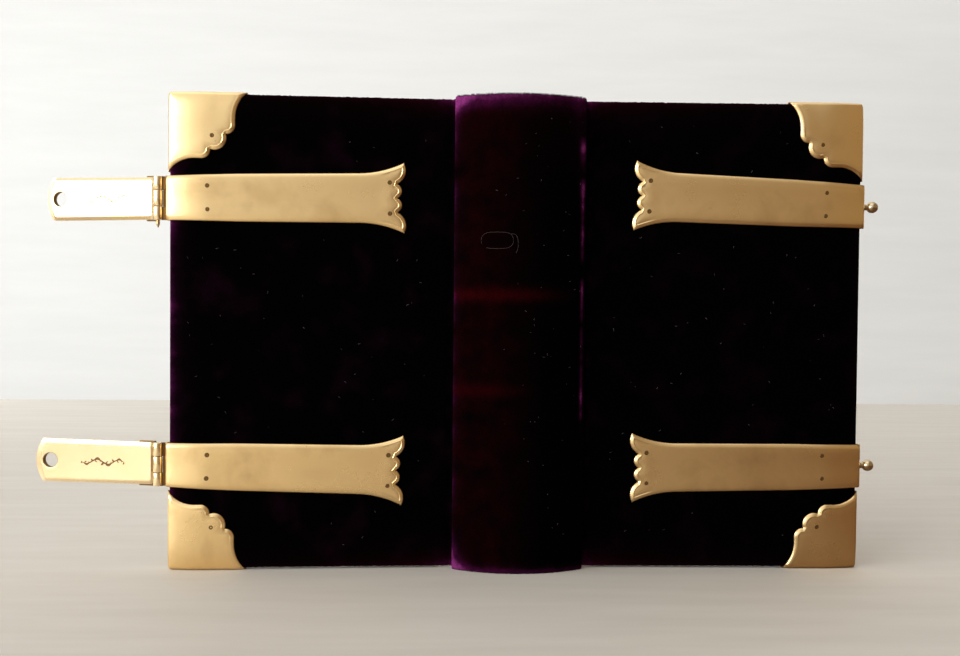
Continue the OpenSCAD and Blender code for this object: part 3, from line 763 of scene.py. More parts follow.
def plate(cover, name, top_free, bottom_free, wrap, to_uz, thick, nodes, beads, dark_marks):
    """A gilt plate on the outer face that turns over the wrap path and returns inside.

    The paths are in the plate's own coordinates; to_uz maps them to the cover's u and z."""
    top_r, low_r = 0.95, 0.45
    bands = (0.02, 0.1, 0.28, 0.55, 0.95)
    rows = [p for band in bands for p in inward(wrap, band)]
    pts, tris, edge_top = fill_with(top_free, wrap, rows, PLATE_LEVELS, 1.5)
    d, e = distance(pts, top_free), distance(pts, wrap)
    u, z = to_uz(pts)
    swell = 0.06 * np.exp(-((d - 2.4) / 1.6) ** 2)
    bead = beads(pts)
    v = outer_v(cover, u, z) - rim_height(d, thick, bead) - swell + fillet(e, top_r)
    v = np.where(e < 1e-4, outer_v(cover, u, z) - thick + top_r, v)
    crease = np.exp(-((d - 1.28) / 0.18) ** 2) * (0.06 + 0.4 * bead) + 0.8 * np.exp(-d / 0.12)
    crease += dark_marks(pts)
    verts = list(cover.place(u, v, z))
    crevice_and_shade = list(crease)
    faces = [tuple(t) for t in tris]
    rows = [p for band in bands[:4] for p in inward(wrap, band)]
    pts2, tris2, edge_low = fill_with(bottom_free, wrap, rows, (0.16, 0.5, 1.0), 1.5)
    d2, e2 = distance(pts2, bottom_free), distance(pts2, wrap)
    u2, z2 = to_uz(pts2)
    v2 = INNER + 0.06 + 0.14 * smooth(d2 / 0.5) - fillet(e2, low_r)
    start = len(verts)
    verts += list(cover.place(u2, v2, z2))
    crevice_and_shade += list(0.8 * np.exp(-d2 / 0.15))
    faces += [tuple(start + i for i in reversed(t)) for t in tris2]
    steps = 4
    previous = list(edge_top)
    uw, zw = to_uz(np.asarray(wrap))
    v_top = outer_v(cover, uw, zw) - thick + top_r
    v_low = np.full_like(v_top, INNER + 0.2 - low_r)
    for k in range(1, steps + 1):
        if k == steps:
            row = [start + i for i in edge_low]
        else:
            row = list(range(len(verts), len(verts) + len(wrap)))
            verts += list(cover.place(uw, v_top + (v_low - v_top) * k / steps, zw))
            crevice_and_shade += [0.1] * len(wrap)
        faces += [(previous[i], previous[i + 1], row[i + 1], row[i]) for i in range(len(wrap) - 1)]
        previous = row
    piece = make(name, verts, faces, cover.body, "gilt_brass", [GILT], replaces=nodes)
    paint(piece, "crevice_and_shade", np.clip(crevice_and_shade, 0, 1))
    shell = piece.modifiers.new("plate_thickness", "SOLIDIFY")
    shell.thickness, shell.offset, shell.use_rim = 0.42 * MM, -1.0, True
    sharp_by_angle(piece, 28)


def inward(path, d):
    """Points at a distance on both sides of a path; the caller keeps those inside its outline."""
    ring = np.asarray(path, float)
    normal = across(np.gradient(ring, axis=0))
    return [tuple(p) for p in np.concatenate([ring + normal * d, ring - normal * d])]


def fill_with(free, wrap, rows, levels, spacing):
    """Mesh of a plate's face, with the rows of points that round its wrapped edge."""
    loop = free + wrap[1:-1]
    rows = np.asarray(rows, float)
    good = inside(rows, loop) & (distance(rows, free) > 0.25) & (distance(rows, wrap) > 0.015)
    chosen = list(loop) + thin(pairs(rows[good]), 0.05)
    for d in levels:
        row = np.concatenate(loop_rows(loop, d))
        good = inside(row, loop) & (np.abs(distance(row, free) - d) < 0.03 * d + 0.005)
        chosen += thin(pairs(row[good & (distance(row, wrap) > 1.1)]), 0.2)
    grid = staggered(loop, spacing)
    deep = inside(grid, loop) & (distance(grid, free) > max(levels) + 0.6) & (distance(grid, wrap) > 1.6)
    return triangulate(chosen + pairs(grid[deep]), free, wrap)[:3]


def thin(points, gap):
    """Drops points that crowd an earlier one."""
    cells = {}
    for p in points:
        cells.setdefault((round(p[0] / gap), round(p[1] / gap)), p)
    return list(cells.values())


def strap_path():
    """Half outline of a strap, from its fore-edge end to the notch between its lobes."""
    neck = STRAP_LEN - FLARE_LEN
    r = arc_r(FLARE_LEN, FLARE_DROP)
    turn = math.degrees(math.asin(FLARE_LEN / r))
    path = path_line((0.6, STRAP_HALF_END), (20, STRAP_HALF), 0.6)
    path += path_line((20, STRAP_HALF), (neck, STRAP_HALF_NECK), 0.6)
    path += path_arc((neck, STRAP_HALF_NECK + r), r, -90, turn - 90, 0.45)
    path += path_arc((STRAP_LEN - 3.48, 7.67), 4.08, 31.4, -62.5)
    path += path_arc((STRAP_LEN - 2.6, 1.95), 2.1, 66, -math.degrees(math.asin(1.95 / 2.1)))
    return clean(path)


def strap(cover, which, kind):
    """One strap, with its scalloped end, turned over the fore edge."""
    zc = STRAP_Z[which]
    tilt = math.radians(STRAP_TILT[which + "_" + kind])
    c, s = math.cos(tilt), math.sin(tilt)
    end_u = cover.w + STRAP_WALL

    def to_uz(pts):
        a, b = pts[:, 0], pts[:, 1]
        along = np.maximum(a * c - b * s, 0) if len(pts) else a
        return end_u - along, zc + a * s + b * c

    def end_point(b):
        return (b * s / c, b)

    half = strap_path()
    free = [end_point(-STRAP_HALF_END)] + [(a, -b) for a, b in half]
    free += [(a, b) for a, b in reversed(half[:-1])] + [end_point(STRAP_HALF_END)]
    count = 17
    wrap = [end_point(STRAP_HALF_END * (1 - 2 * i / (count - 1))) for i in range(count)]
    r = STRAP_HALF_END
    tab = [end_point(-r)] + path_line((0.8, -r), (RETURN_LEN - r, -r), 0.6)
    tab += path_arc((RETURN_LEN - r, 0), r, -90, 90, 0.5)
    tab += path_line((RETURN_LEN - r, r), (0.8, r), 0.6)[1:] + [end_point(r)]
    node = f"{which}_{kind}_strap"
    return plate(cover, node + "_plate", free, clean(tab), wrap, to_uz, STRAP_T, [node],
                 lambda pts: smooth((pts[:, 0] - STRAP_LEN + 7) / 3),
                 lambda pts: strap_stains(pts, kind))


def strap_stains(pts, kind):
    """Two tarnished dents beside the nails of a clasp strap, and a rubbed patch in its middle."""
    total = np.zeros(len(pts))
    if kind == "clasp":
        for up, strength in ((2.9, 0.30), (-2.6, 0.34)):
            total += strength * np.exp(-(((pts[:, 0] - 22.5) / 1.3) ** 2 + ((pts[:, 1] - up) / 1.2) ** 2))
        total += 0.14 * np.exp(-(((pts[:, 0] - 41) / 5) ** 2 + ((pts[:, 1] + 1.5) / 2.2) ** 2))
    return total


def corner_path():
    """Scalloped edge of a corner piece, from the fore edge to the head or tail edge."""
    lobes = path_line((7.3, 18.3), (9.2, 18.35))[1:]
    lobes += path_arc((9.2, 15.9), 2.45, 90, -1)
    lobes += path_arc((12.75, 12.75), 3.25, 108, 46)
    lobes += [(b, a) for a, b in reversed(lobes)]
    return clean(path_arc((7.3, 27.3), 9.0, -144.2, -90, 0.35) + lobes
                 + path_arc((28.4, 7.3), 10.05, 180, 226.6, 0.35))


def corner(cover, end):
    """One corner piece, wrapped over the fore edge and the head or tail edge."""
    free = corner_path()
    free[0] = (0.0, free[0][1])
    free[-1] = (free[-1][0], 0.0)
    r = 1.0
    wrap = path_line(free[-1], (r, 0.0), 0.8) + path_arc((r, r), r, -90, -180, 0.25)
    wrap += path_line((0.0, r), free[0], 0.8)[1:] + [free[0]]
    end_u = cover.w + CORNER_T

    def to_uz(pts):
        a, b = pts[:, 0], pts[:, 1]
        return end_u - a, (HEIGHT - b if end == "head" else b)

    node = f"{cover.word}_{end}_corner"
    # The corner's plate is darker along its head or tail edge.
    return plate(cover, node + "_plate", free, free, wrap, to_uz, CORNER_T + 0.1, [node],
                 corner_lobes, lambda pts: 0.32 * np.exp(-pts[:, 1] / 0.45))


def corner_lobes(pts):
    """1 at the three small lobes of a corner's scalloped edge, falling to 0.25 along its arms."""
    gap = np.hypot(pts[:, 0] - 12.9, pts[:, 1] - 12.9)
    return 0.25 + 0.75 * smooth((7.6 - gap) / 2.6)


def nails(cover):
    """Small domed nail heads, sunk into the plates."""
    b = Builder()
    spots = []
    for which, zc in STRAP_Z.items():
        tilt = math.radians(STRAP_TILT[which + ("_clasp" if cover is BACK else "_catch")])
        for along, up in STRAP_NAILS:
            a = along * math.cos(tilt) - up * math.sin(tilt)
            z = zc + along * math.sin(tilt) + up * math.cos(tilt)
            spots.append((cover.w + STRAP_WALL - a, z, STRAP_T))
    for z in (CORNER_NAIL, HEIGHT - CORNER_NAIL):
        spots.append((cover.w + CORNER_T - CORNER_NAIL, z, CORNER_T))
    for u, z, thick in spots:
        v = float(outer_v(cover, u, z)) - thick - 0.08
        centre = Vector(cover.place(u, v, z)[0])
        out = centre - Vector(cover.place(u, v + 1, z)[0])
        size = rng.uniform(0.92, 1.08)
        tip = rng.uniform(0.08, 0.15)
        profile = [(0.04, tip - 0.06), (0.22, tip - 0.04), (0.36, tip), (0.5, tip - 0.01), (0.6, tip - 0.07),
                   (0.63, 0.0), (0.6, -0.1), (0.45, -1.6), (0.2, -2.4)]
        b.lathe([(r * size * MM, h * MM) for r, h in profile], centre, out, turns=20)
    b.piece(cover.word + "_nails", cover.body, "pin_brass", [DARK_BRASS_AND_SHADE], replaces=[cover.word + "_cover_nails"])


# ---- Clasps ----


def barrel_point(cover):
    return cover.w + STRAP_WALL + BARREL_OUT, BARREL_V


def knuckle_ring(b, centre, z0, z1, kind=0):
    """One rolled knuckle round the pin, from z0 to z1 in millimetres."""
    profile = [(BORE_R, z0), (BARREL_R - 0.2, z0), (BARREL_R - 0.06, z0 + 0.06), (BARREL_R, z0 + 0.2),
               (BARREL_R, z1 - 0.2), (BARREL_R - 0.06, z1 - 0.06), (BARREL_R - 0.2, z1), (BORE_R, z1)]
    flat = Vector((centre[0], centre[1], 0))
    b.lathe([(r * MM, h * MM) for r, h in profile], flat, (0, 0, 1), turns=40, kind=kind, closed_ring=True)


def strap_knuckles(which):
    """The strap's two knuckles, with the lugs that carry them."""
    cover, b = BACK, Builder()
    u0, v0 = barrel_point(cover)
    centre = cover.place(u0, v0, 0)[0]
    zc = STRAP_Z[which]
    near, far = KNUCKLE_MID / 2 + KNUCKLE_GAP, LEAF_HALF
    start = cover.w + STRAP_WALL - 0.25
    section = [(start, v0 + 0.15), (u0 - 1.05, v0 - 0.6), (u0 - 0.7, v0 + 1.05), (start, v0 + 0.95)]
    for z0, z1 in ((zc + near, zc + far), (zc - far, zc - near)):
        knuckle_ring(b, centre, z0, z1)
        rows = []
        for z, shrink in ((z0, 0.08), (z0 + 0.08, 0), (z1 - 0.08, 0), (z1, 0.08)):
            rows += list(cover.place([p[0] for p in section],
                                     [p[1] + (shrink if p[1] < v0 + 0.5 else -shrink) for p in section], z))
        # The lugs take the dark copy of the gilt: painted shade.
        b.prism(rows, 4, kind=1)
    # A dark plate that fills the gap between the knuckles: painted shade.
    shadow_web = [(start, v0 - 0.1), (u0 - 1.36, v0 - 0.1), (u0 - 1.36, v0 + 0.05), (start, v0 + 0.3)]
    rows = []
    for z in (zc - near, zc + near):
        rows += list(cover.place([p[0] for p in shadow_web], [p[1] for p in shadow_web], z))
    b.prism(rows, 4, kind=2)
    piece = b.piece(which + "_strap_knuckles", cover.body, "gilt_brass", [LIT_LEAF_GILT, SHADED_HINGE_GILT, DARK_BRASS_AND_SHADE])
    sharp_by_angle(piece, 35)


def scroll_strokes():
    """A generic engraved vine: (points along and across the leaf, half widths)."""
    strokes = []
    t = np.linspace(-1, 1, 90)
    stem = np.stack([6.6 * t, 0.62 * np.sin(2 * math.pi * t)], -1)
    strokes.append((stem, 0.05 + 0.07 * (1 - t * t)))
    q = np.linspace(0, 1, 34)
    for k in range(4):
        up = 1 if k % 2 else -1
        x, size = -4.95 + 3.3 * k, 1.0 if k in (1, 2) else 0.82
        a = math.pi * (1.15 - 1.75 * q)
        r = size * (0.98 - 0.68 * q)
        curl = np.stack([x + r * np.cos(a), -up * (0.30 + r * np.sin(a) * 0.95)], -1)
        strokes.append((curl, 0.045 + 0.085 * q * (1 - q) * 4))
    for k in range(5):
        up = 1 if k % 2 else -1
        x, size = -6.4 + 3.2 * k, 1.0 - 0.22 * abs(k - 2)
        blade = np.stack([x + size * (0.9 * q - 0.35), up * size * (0.15 + 1.05 * q - 0.3 * q * q)], -1)
        strokes.append((blade, 0.03 + 0.17 * np.sin(math.pi * q ** 0.7) * size))
    return strokes


def leaf_outline(length):
    """Outline of a clasp leaf, a little wider at its nose: distance from the barrel, and height."""
    nose = length - LEAF_NOSE_R
    spread = math.degrees(math.asin((LEAF_WIDE - 0.1) / LEAF_NOSE_R))
    shoulder = LEAF_NOSE_R * math.cos(math.radians(spread)) + nose - 0.15
    path = path_line((LEAF_START, -LEAF_ROOT), (shoulder, -LEAF_WIDE), 0.5)
    path += path_arc((nose, 0), LEAF_NOSE_R, -spread, spread, 0.35)
    path += path_line((shoulder, LEAF_WIDE), (LEAF_START, LEAF_ROOT), 0.5) + [(LEAF_START, LEAF_ROOT)]
    return clean(path)


def clasp_leaf(which):
    """A clasp leaf: bevelled plate with its hole, knuckle and engraved vine."""
    cover, b = BACK, Builder()
    joint = JOINTS[which + "_clasp_hinge"]
    back = math.radians(90 - joint["range_deg"][1])
    zc = STRAP_Z[which]
    u0, v0 = barrel_point(cover)
    hole_at = (BACK.x - BARREL_V) + (FRONT.x - STUD_V) - HOOK
    turn = back - math.pi / 2
    hang = math.radians(LEAF_HANG[which])

    def put(off, along, z):
        """From the closed leaf (off the book, along the leaf) to the row frame."""
        off, along = np.asarray(off, float), np.asarray(along, float)
        z = z + np.clip(along - LEAF_START, 0, None) * math.tan(hang)
        u = u0 + off * math.cos(turn) - along * math.sin(turn)
        v = v0 + off * math.sin(turn) + along * math.cos(turn)
        return cover.place(u, v, z)

    free = leaf_outline(hole_at + LEAF_TIP)
    wrap = path_line((LEAF_START, LEAF_ROOT), (LEAF_START, -LEAF_ROOT), 0.6) + [(LEAF_START, -LEAF_ROOT)]
    hole = [(hole_at + HOLE_STRETCH * HOLE_R * math.cos(t), HOLE_R * math.sin(t))
            for t in np.linspace(0, 2 * math.pi, 49)[:-1]]
    pts, tris, edge, ring = fill(free, wrap, (0.12, 0.55, 0.98, 1.12, 1.35, 1.55, 1.8), 1.3, hole=hole)
    along, up = pts[:, 0], pts[:, 1]
    d = distance(pts, free)
    dh = distance(pts, hole + hole[:1])
    nose = smooth((along - hole_at - 1.2) / 1.6)
    width = 1.0 + 0.55 * nose
    drop = 0.36 - 0.14 * nose
    top = LEAF_OUTER - drop * (1 - np.clip(d / width, 0, 1)) - 0.12 * np.exp(-dh / 0.12)
    top -= 0.35 * (1 - np.clip((along - LEAF_START) / 0.6, 0, 1))
    low = LEAF_INNER + 0.12 * np.exp(-d / 0.15)
    count = len(pts)
    verts = list(put(top, along, zc + up)) + list(put(low, along, zc + up))
    faces = [tuple(t) for t in tris] + [tuple(count + i for i in reversed(t)) for t in tris]
    kinds = [0] * len(faces)
    # The walls of the hole and of the root end take the dark brass: painted shade.
    for loop in (list(range(len(free))) + edge[1:-1], ring):
        n = len(loop)
        faces += [(loop[i], loop[(i + 1) % n], count + loop[(i + 1) % n], count + loop[i]) for i in range(n)]
        kinds += [1 if loop is ring or i >= len(free) - 1 else 0 for i in range(n)]
    # Painted shade: a dark line along the bevel's crease and at the root by the knuckle, darker side bevels,
    # and dark rims round the hole and under the edges.
    line = 0.12 + 0.5 * nose
    rim_shade = line * np.exp(-((d - width) / 0.14) ** 2) + 0.5 * np.exp(-(along - LEAF_START) / 0.2)
    rim_shade += 0.34 * (1 - nose) * smooth((width - d) / 0.2)
    crevice_and_shade = np.concatenate([0.75 * np.exp(-dh / 0.12) + rim_shade,
                              0.3 * np.exp(-d / 0.2)])
    body = which + "_clasp"
    leaf = make(which + "_leaf_plate", verts, faces, body, "gilt_brass", [LIT_LEAF_GILT, DARK_BRASS_AND_SHADE],
                replaces=[which + "_clasp_leaf"], face_material=kinds)
    paint(leaf, "crevice_and_shade", np.clip(crevice_and_shade, 0, 1))
    sharp_by_angle(leaf, 26)
    # The knuckle and the tongue that joins it to the plate; the tongue takes the dark copy of the gilt as
    # painted shade.
    half = KNUCKLE_MID / 2
    knuckle_ring(b, cover.place(u0, v0, 0)[0], zc - half, zc + half)
    section = [(-1.2, 0.1), (-0.55, 0.45), (LEAF_OUTER - 0.15, 1.2), (LEAF_OUTER - 0.1, LEAF_START + 0.4),
               (LEAF_INNER, LEAF_START + 0.4), (LEAF_INNER, 0.9), (-1.75, 0.4)]
    rows = []
    for z in (zc - half, zc + half):
        rows += list(put([p[0] for p in section], [p[1] for p in section], z))
    b.prism(rows, len(section), kind=1)
    knuckle = b.piece(which + "_leaf_knuckle", body, "gilt_brass", [LIT_LEAF_GILT, SHADED_HINGE_GILT])
    sharp_by_angle(knuckle, 35)
    # The hinge's own plate lies under the leaf and shows as a dark line round its end, in dark brass as
    # painted shade.
    under = Builder()
    rows = []
    reach = 6.4 if which == "lower" else 4.6
    for z in (-LEAF_HALF - 0.26, LEAF_HALF + 0.26):
        rows += list(put([LEAF_INNER + 0.05] * 2 + [-0.95] * 2, [1.45, reach, reach, 1.45], zc + z))
    under.prism(rows, 4)
    base = under.piece(which + "_hinge_plate", body, "gilt_brass", [DARK_BRASS_AND_SHADE])
    edge_bevel = base.modifiers.new("soft_edges", "BEVEL")
    edge_bevel.width, edge_bevel.segments = 0.12 * MM, 2
    # Engraving: shallow dark strokes that lie on the face.
    e = Builder()
    middle = (LEAF_START + hole_at - HOLE_R) / 2 + 0.4
    grow, bold = (1.05, 1.6) if which == "lower" else (1.15, 1.0)
    for pts2, widths in scroll_strokes():
        line = np.asarray(pts2) * grow + (middle, 0)
        side = across(np.gradient(line, axis=0))
        w = np.asarray(widths)[:, None] * bold
        left, right = line + side * w, line - side * w
        n = len(line)
        rows = []
        for lift in (0.012, -0.05):
            for edge_line in (left, right):
                rows += list(put(np.full(n, LEAF_OUTER + lift), edge_line[:, 0], zc + edge_line[:, 1]))
        quads = [(p * n + i, p * n + i + 1, q * n + i + 1, q * n + i)
                 for i in range(n - 1) for p, q in ((0, 1), (1, 3), (3, 2), (2, 0))]
        quads += [(0, n, 3 * n, 2 * n), (n - 1, 2 * n - 1, 4 * n - 1, 3 * n - 1)]
        e.add(rows, quads)
    e.piece(which + "_engraved_scroll", body, "gilt_brass", [ENGRAVED])


def stud(which):
    """Catch stud: collar, neck and olive-shaped ball."""
    cover, b = FRONT, Builder()
    zc = STRAP_Z[which]
    start = cover.place(cover.w + STRAP_WALL, STUD_V, zc)[0]
    out = cover.place(cover.w + STRAP_WALL + 1, STUD_V, zc)[0] - start
    profile = [(0.85, -0.5), (1.2, -0.02), (1.2, 0.1), (1.0, 0.2), (0.88, 0.3), (0.86, 0.6)]
    for k in range(15):
        t = math.radians(143 - 143 * k / 14)
        profile.append((max(STUD_R * math.sin(t), 0.03), STUD_OUT - STUD_HALF * math.cos(t)))
    b.lathe([(r * MM, h * MM) for r, h in profile], start, out, turns=36)
    piece = b.piece(which + "_stud_turned", cover.body, "pin_brass", [STUD], replaces=[which + "_catch_stud"])
    sharp_by_angle(piece, 50)


# ---- Text block ----


def fold_y(x):
    return SPINE_CY - math.sqrt(FOLD_R ** 2 - x * x)


def sheet_section(r, t, x0, y0, tip, steps):
    """Section of one folded sheet: out along one leaf, round the fold, and back along the other."""
    outer, inner = [], []
    for s in np.linspace(1, 0, steps):
        outer.append((r, s))
        inner.append((r - t, s))
    for k in range(1, 8):
        a = math.pi * k / 8
        outer.append((r * math.cos(a), -r * math.sin(a)))
        inner.append(((r - t) * math.cos(a), -(r - t) * math.sin(a)))
    for s in np.linspace(0, 1, steps):
        outer.append((-r, s))
        inner.append((-(r - t), s))

    def place(p):
        x, s = p
        on_leaf = s > 0
        return (x0 + x, y0 + (s * (tip(x0 + x) - y0) if on_leaf else s))

    return [place(p) for p in outer], [place(p) for p in inner]


def bend_rest(points, joint, ys, ye):
    """Turns straight leaves to how they lie at rest."""
    pivot = np.array(joint["pos_m"][:2]) / MM
    full = -math.radians(joint["range_deg"][1] - 0.05) * joint["axis"][2]
    moved = points.copy()
    for _ in range(12):
        w = smooth((moved[:, 1] - ys) / (ye - ys))
        a = full * w
        p = points[:, :2] - pivot
        moved[:, 0] = pivot[0] + p[:, 0] * np.cos(a) - p[:, 1] * np.sin(a)
        moved[:, 1] = pivot[1] + p[:, 0] * np.sin(a) + p[:, 1] * np.cos(a)
    return moved


def wavy(points):
    """A slight common waviness of the leaves, growing towards the fore edge."""
    s = np.clip((points[:, 1] - 12) / 70, 0, 1) ** 1.5
    z = points[:, 2]
    points[:, 0] += s * (0.22 * np.sin(z / 21 + 0.6) + 0.1 * np.sin(z / 9.5))
    return points


# Share of the outermost leaf's swing that each gathering takes at its fore edge.
FAN = {13: 0.84, 12: 0.60, 11: 0.40, 10: 0.24, 9: 0.12, 8: 0.05}
LEAF_ROOT_Y = 11.0


def gathering(i):
    """One sewn gathering of nested folded sheets, with gilt edges."""
    node = f"gathering_{i:02d}"
    low, high = box_mm(node)
    x0, t = (low.x + high.x) / 2, high.x - low.x
    y0 = fold_y(x0)
    pitch = t / (2 * SHEETS)
    b = Builder()
    levels = np.linspace(0, PAGE_H, 9)
    for j in range(SHEETS):
        r = t / 2 - j * pitch
        trim = rng.uniform(-0.10, 0.0)
        short = rng.uniform(0, 0.05)
        outer, inner = sheet_section(r, min(pitch * 0.84, r - 0.02), x0, y0,
                                     lambda x: fold_y(max(-15, min(15, x))) + PAGE_W + trim, 12)
        ring = outer + inner[::-1]
        n = len(ring)
        pts = [(x, y, TAIL_Z + min(max(z, short), PAGE_H - short)) for z in levels for x, y in ring]
        faces = grid_faces(len(levels), n, wrap=True)
        half = len(outer)
        kinds = [1 if (k % n) in (half - 1, n - 1) else 0 for k in range(len(faces))]
        caps = []
        for level in (0, len(levels) - 1):
            base = level * n
            caps += [(base + k, base + k + 1, base + n - 2 - k, base + n - 1 - k) for k in range(half - 1)]
        start = len(b.verts)
        b.verts.extend(pts)
        b.faces.extend([tuple(start + v for v in f) for f in faces + caps])
        b.kinds.extend(kinds + [1] * len(caps))
    pts = wavy(np.array(b.verts))
    share = FAN.get(max(i, 14 - i), 0)
    joint = JOINTS["first_leaf_fold" if i > 7 else "last_leaf_fold"]
    if share:
        reach = PAGE_W - 6
        root = 0.5 - math.sin(math.asin(1 - 2 * share) / 3)
        ye = LEAF_ROOT_Y + reach / root
        pts = bend_rest(pts, joint, LEAF_ROOT_Y, ye)
    b.verts = [tuple(p * MM) for p in pts]
    body = None if share else "text_block"
    piece = b.piece(node + "_sheets", body, "page_paper", [PAGE, EDGE_GILT], replaces=[node])
    sharp_by_angle(piece, 40)
    if share:
        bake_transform(piece)


def loose_leaf(node, material, slot, thick, curl_end):
    """A single leaf, bent from its fold to how it lies at rest."""
    joint = JOINTS[node + "_fold"]
    px, py = joint["pos_m"][0] / MM, joint["pos_m"][1] / MM
    s, z = np.meshgrid(np.linspace(0, PAGE_W - 1, 40), np.linspace(TAIL_Z, TAIL_Z + PAGE_H, 24))
    rows, columns = s.shape
    sides = [np.stack([np.full(s.size, px + off), py + s.ravel(), z.ravel()], -1)
             for off in (-thick / 2, thick / 2)]
    pts = bend_rest(wavy(np.concatenate(sides)), joint, py, curl_end)
    faces = shell_faces(rows, columns)
    # Plain paper on both faces and at the fold; gilt on the three trimmed edges.
    kinds = [0] * (2 * (rows - 1) * (columns - 1)) + [0, 1] * (rows - 1) + [1] * (2 * (columns - 1))
    piece = make(node + "_sheet", pts * MM, faces, None, slot, [material, EDGE_GILT], replaces=[node],
                 face_material=kinds)
    sharp_by_angle(piece, 40)
    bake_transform(piece)


def pastedown(cover):
    """Endpaper pasted on the board."""
    low, high = box_mm(cover.word + "_pastedown")
    z0, z1 = low.z - 0.3, high.z + 0.3
    u = np.linspace(BOARD_GAP + 0.3, cover.w - TURN_IN + 0.25, 60)
    z = np.linspace(z0, z1, 90)
    uu, zz = np.meshgrid(u, z)
    grid = np.stack([uu.ravel(), np.zeros(uu.size), zz.ravel()], -1)
    bulge = 0.03 * fbm(grid, 9.0, 2, seed=11.0) + 0.012 * fbm(grid, 1.2, 2, seed=12.0)
    edge = np.minimum.reduce([cover.w - TURN_IN + 0.25 - uu.ravel(), zz.ravel() - z0, z1 - zz.ravel()])
    top = 2.86 + bulge - 0.12 * np.exp(-edge / 0.4)
    u, z = uu.ravel(), zz.ravel()
    verts = np.concatenate([cover.place(u, top, z), cover.place(u, 2.6, z)])
    piece = make(cover.word + "_pastedown_sheet", verts, shell_faces(*uu.shape), cover.body, "endpaper",
                 [ENDPAPER], replaces=[cover.word + "_pastedown"])
    sharp_by_angle(piece, 40)


def headband(name, z, node):
    """A headband sewn in two colours round a core that follows the folds."""
    r_arc = FOLD_R + 0.4
    spread = math.asin(13.6 / r_arc)
    count, sides = 260, 12
    verts = []
    for i in range(count + 1):
        t = i / count
        a = -spread + 2 * spread * t
        thread = abs(math.sin(math.pi * t * 52))
        r = 0.52 + 0.16 * thread ** 0.7
        cx, cy = r_arc * math.sin(a), SPINE_CY - r_arc * math.cos(a)
        for k in range(sides):
            q = 2 * math.pi * k / sides
            out = r * math.cos(q)
            x, y = cx + out * math.sin(a), cy - out * math.cos(a)
            verts.append((x * MM, y * MM, (z + r * math.sin(q)) * MM))
    faces = grid_faces(count + 1, sides, wrap=True)
    kinds = [(int(52 * (f // sides) / count) // 4) % 2 for f in range(len(faces))]
    faces += [tuple(range(sides)), tuple(count * sides + k for k in range(sides))]
    kinds += [0, 0]
    make(name, verts, faces, "text_block", "silk", SILKS, replaces=[node], face_material=kinds)


def lint():
    """Stray fibres caught in the pile, and a curled thread end on the spine."""
    for cover, count in ((BACK, 70), (FRONT, 80)):
        b = Builder()
        for _ in range(count):
            u, z = rng.uniform(6, cover.w - 5), rng.uniform(6, HEIGHT - 6)
            if any(abs(z - s) < 9 and u > cover.w - STRAP_LEN - 2 for s in STRAP_Z.values()):
                continue
            if cover.w - u < 21 and min(z, HEIGHT - z) < 21:
                continue
            fibre(b, cover, u, z)
        b.piece(cover.word + "_lint", cover.body, "velvet", [LINT])
    b = Builder()
    for _ in range(60):
        x, z = rng.gauss(9, 8), rng.uniform(5, HEIGHT - 5)
        if abs(x) < SPINE_HALF - 1:
            spine_fibre(b, x, z, rng.uniform(0.06, 0.35))
    b.piece("spine_lint", "text_block", "velvet", [LINT])
    pile_fringe()
    b = Builder()
    curls = ((200, -330, -6.6, 91.9, 4.4, 2.5), (100, -150, -2.6, 90.9, 1.7, 3.0))
    for start, turn, cx, cz, wide, tall in curls:
        loop = []
        for i in range(50):
            a = math.radians(start + turn * i / 49)
            x, z = cx + wide * math.cos(a), cz + tall * math.sin(a) + 0.25 * math.sin(3 * a)
            loop.append((x * MM, (SPINE_CY - math.sqrt((SPINE_R + 0.1) ** 2 - x * x)) * MM, z * MM))
        b.tube(loop, 0.05 * MM, 6)
    b.piece("stray_thread", "text_block", "velvet", [THREAD])


def pile_fringe():
    """Loose tufts of pile that stand up along the spine's head and tail."""
    b = Builder()
    for edge, up, count in ((HEIGHT, 1, 620), (0.0, -1, 160)):
        for _ in range(count):
            x = rng.uniform(-SPINE_HALF + 0.5, SPINE_HALF - 0.5)
            y = SPINE_CY - math.sqrt((SPINE_R - rng.uniform(0.1, 0.55)) ** 2 - x * x)
            tall, lean = rng.uniform(0.06, 0.3) * (1 if up > 0 else 0.3), rng.uniform(-0.2, 0.2)
            foot = edge - up * 0.35
            path = [(x * MM, y * MM, foot * MM), ((x + lean * 0.4) * MM, y * MM, (edge - up * 0.05) * MM),
                    ((x + lean) * MM, (y - 0.08) * MM, (edge + up * tall) * MM)]
            b.tube(path, 0.055 * MM, 4, taper=(1.0, 0.9, 0.35))
    b.piece("spine_pile_fringe", "text_block", "velvet", [FRINGE])


def fibre(b, cover, u, z):
    size, a = rng.uniform(0.08, 0.42), rng.uniform(0, math.pi)
    bend = rng.uniform(-0.4, 0.4)
    pts = []
    for t in (-1, -0.4, 0.2, 1):
        uu, zz = u + size * t * math.cos(a) - bend * size * t * t * math.sin(a), z + size * t * math.sin(a)
        pts.append(tuple(cover.place(uu, float(outer_v(cover, uu, zz)) - 0.12, zz)[0]))
    b.tube(pts, rng.uniform(0.03, 0.07) * MM, 5)


def spine_fibre(b, x, z, size):
    a = rng.uniform(0, math.pi)
    pts = []
    for t in (-1, 0, 1):
        xx, zz = x + size * t * math.cos(a), z + size * (t * math.sin(a) + 0.2 * t * t)
        pts.append((xx * MM, (SPINE_CY - math.sqrt((SPINE_R + 0.12) ** 2 - xx * xx)) * MM, zz * MM))
    b.tube(pts, rng.uniform(0.03, 0.06) * MM, 5)


# ---- Assembly ----

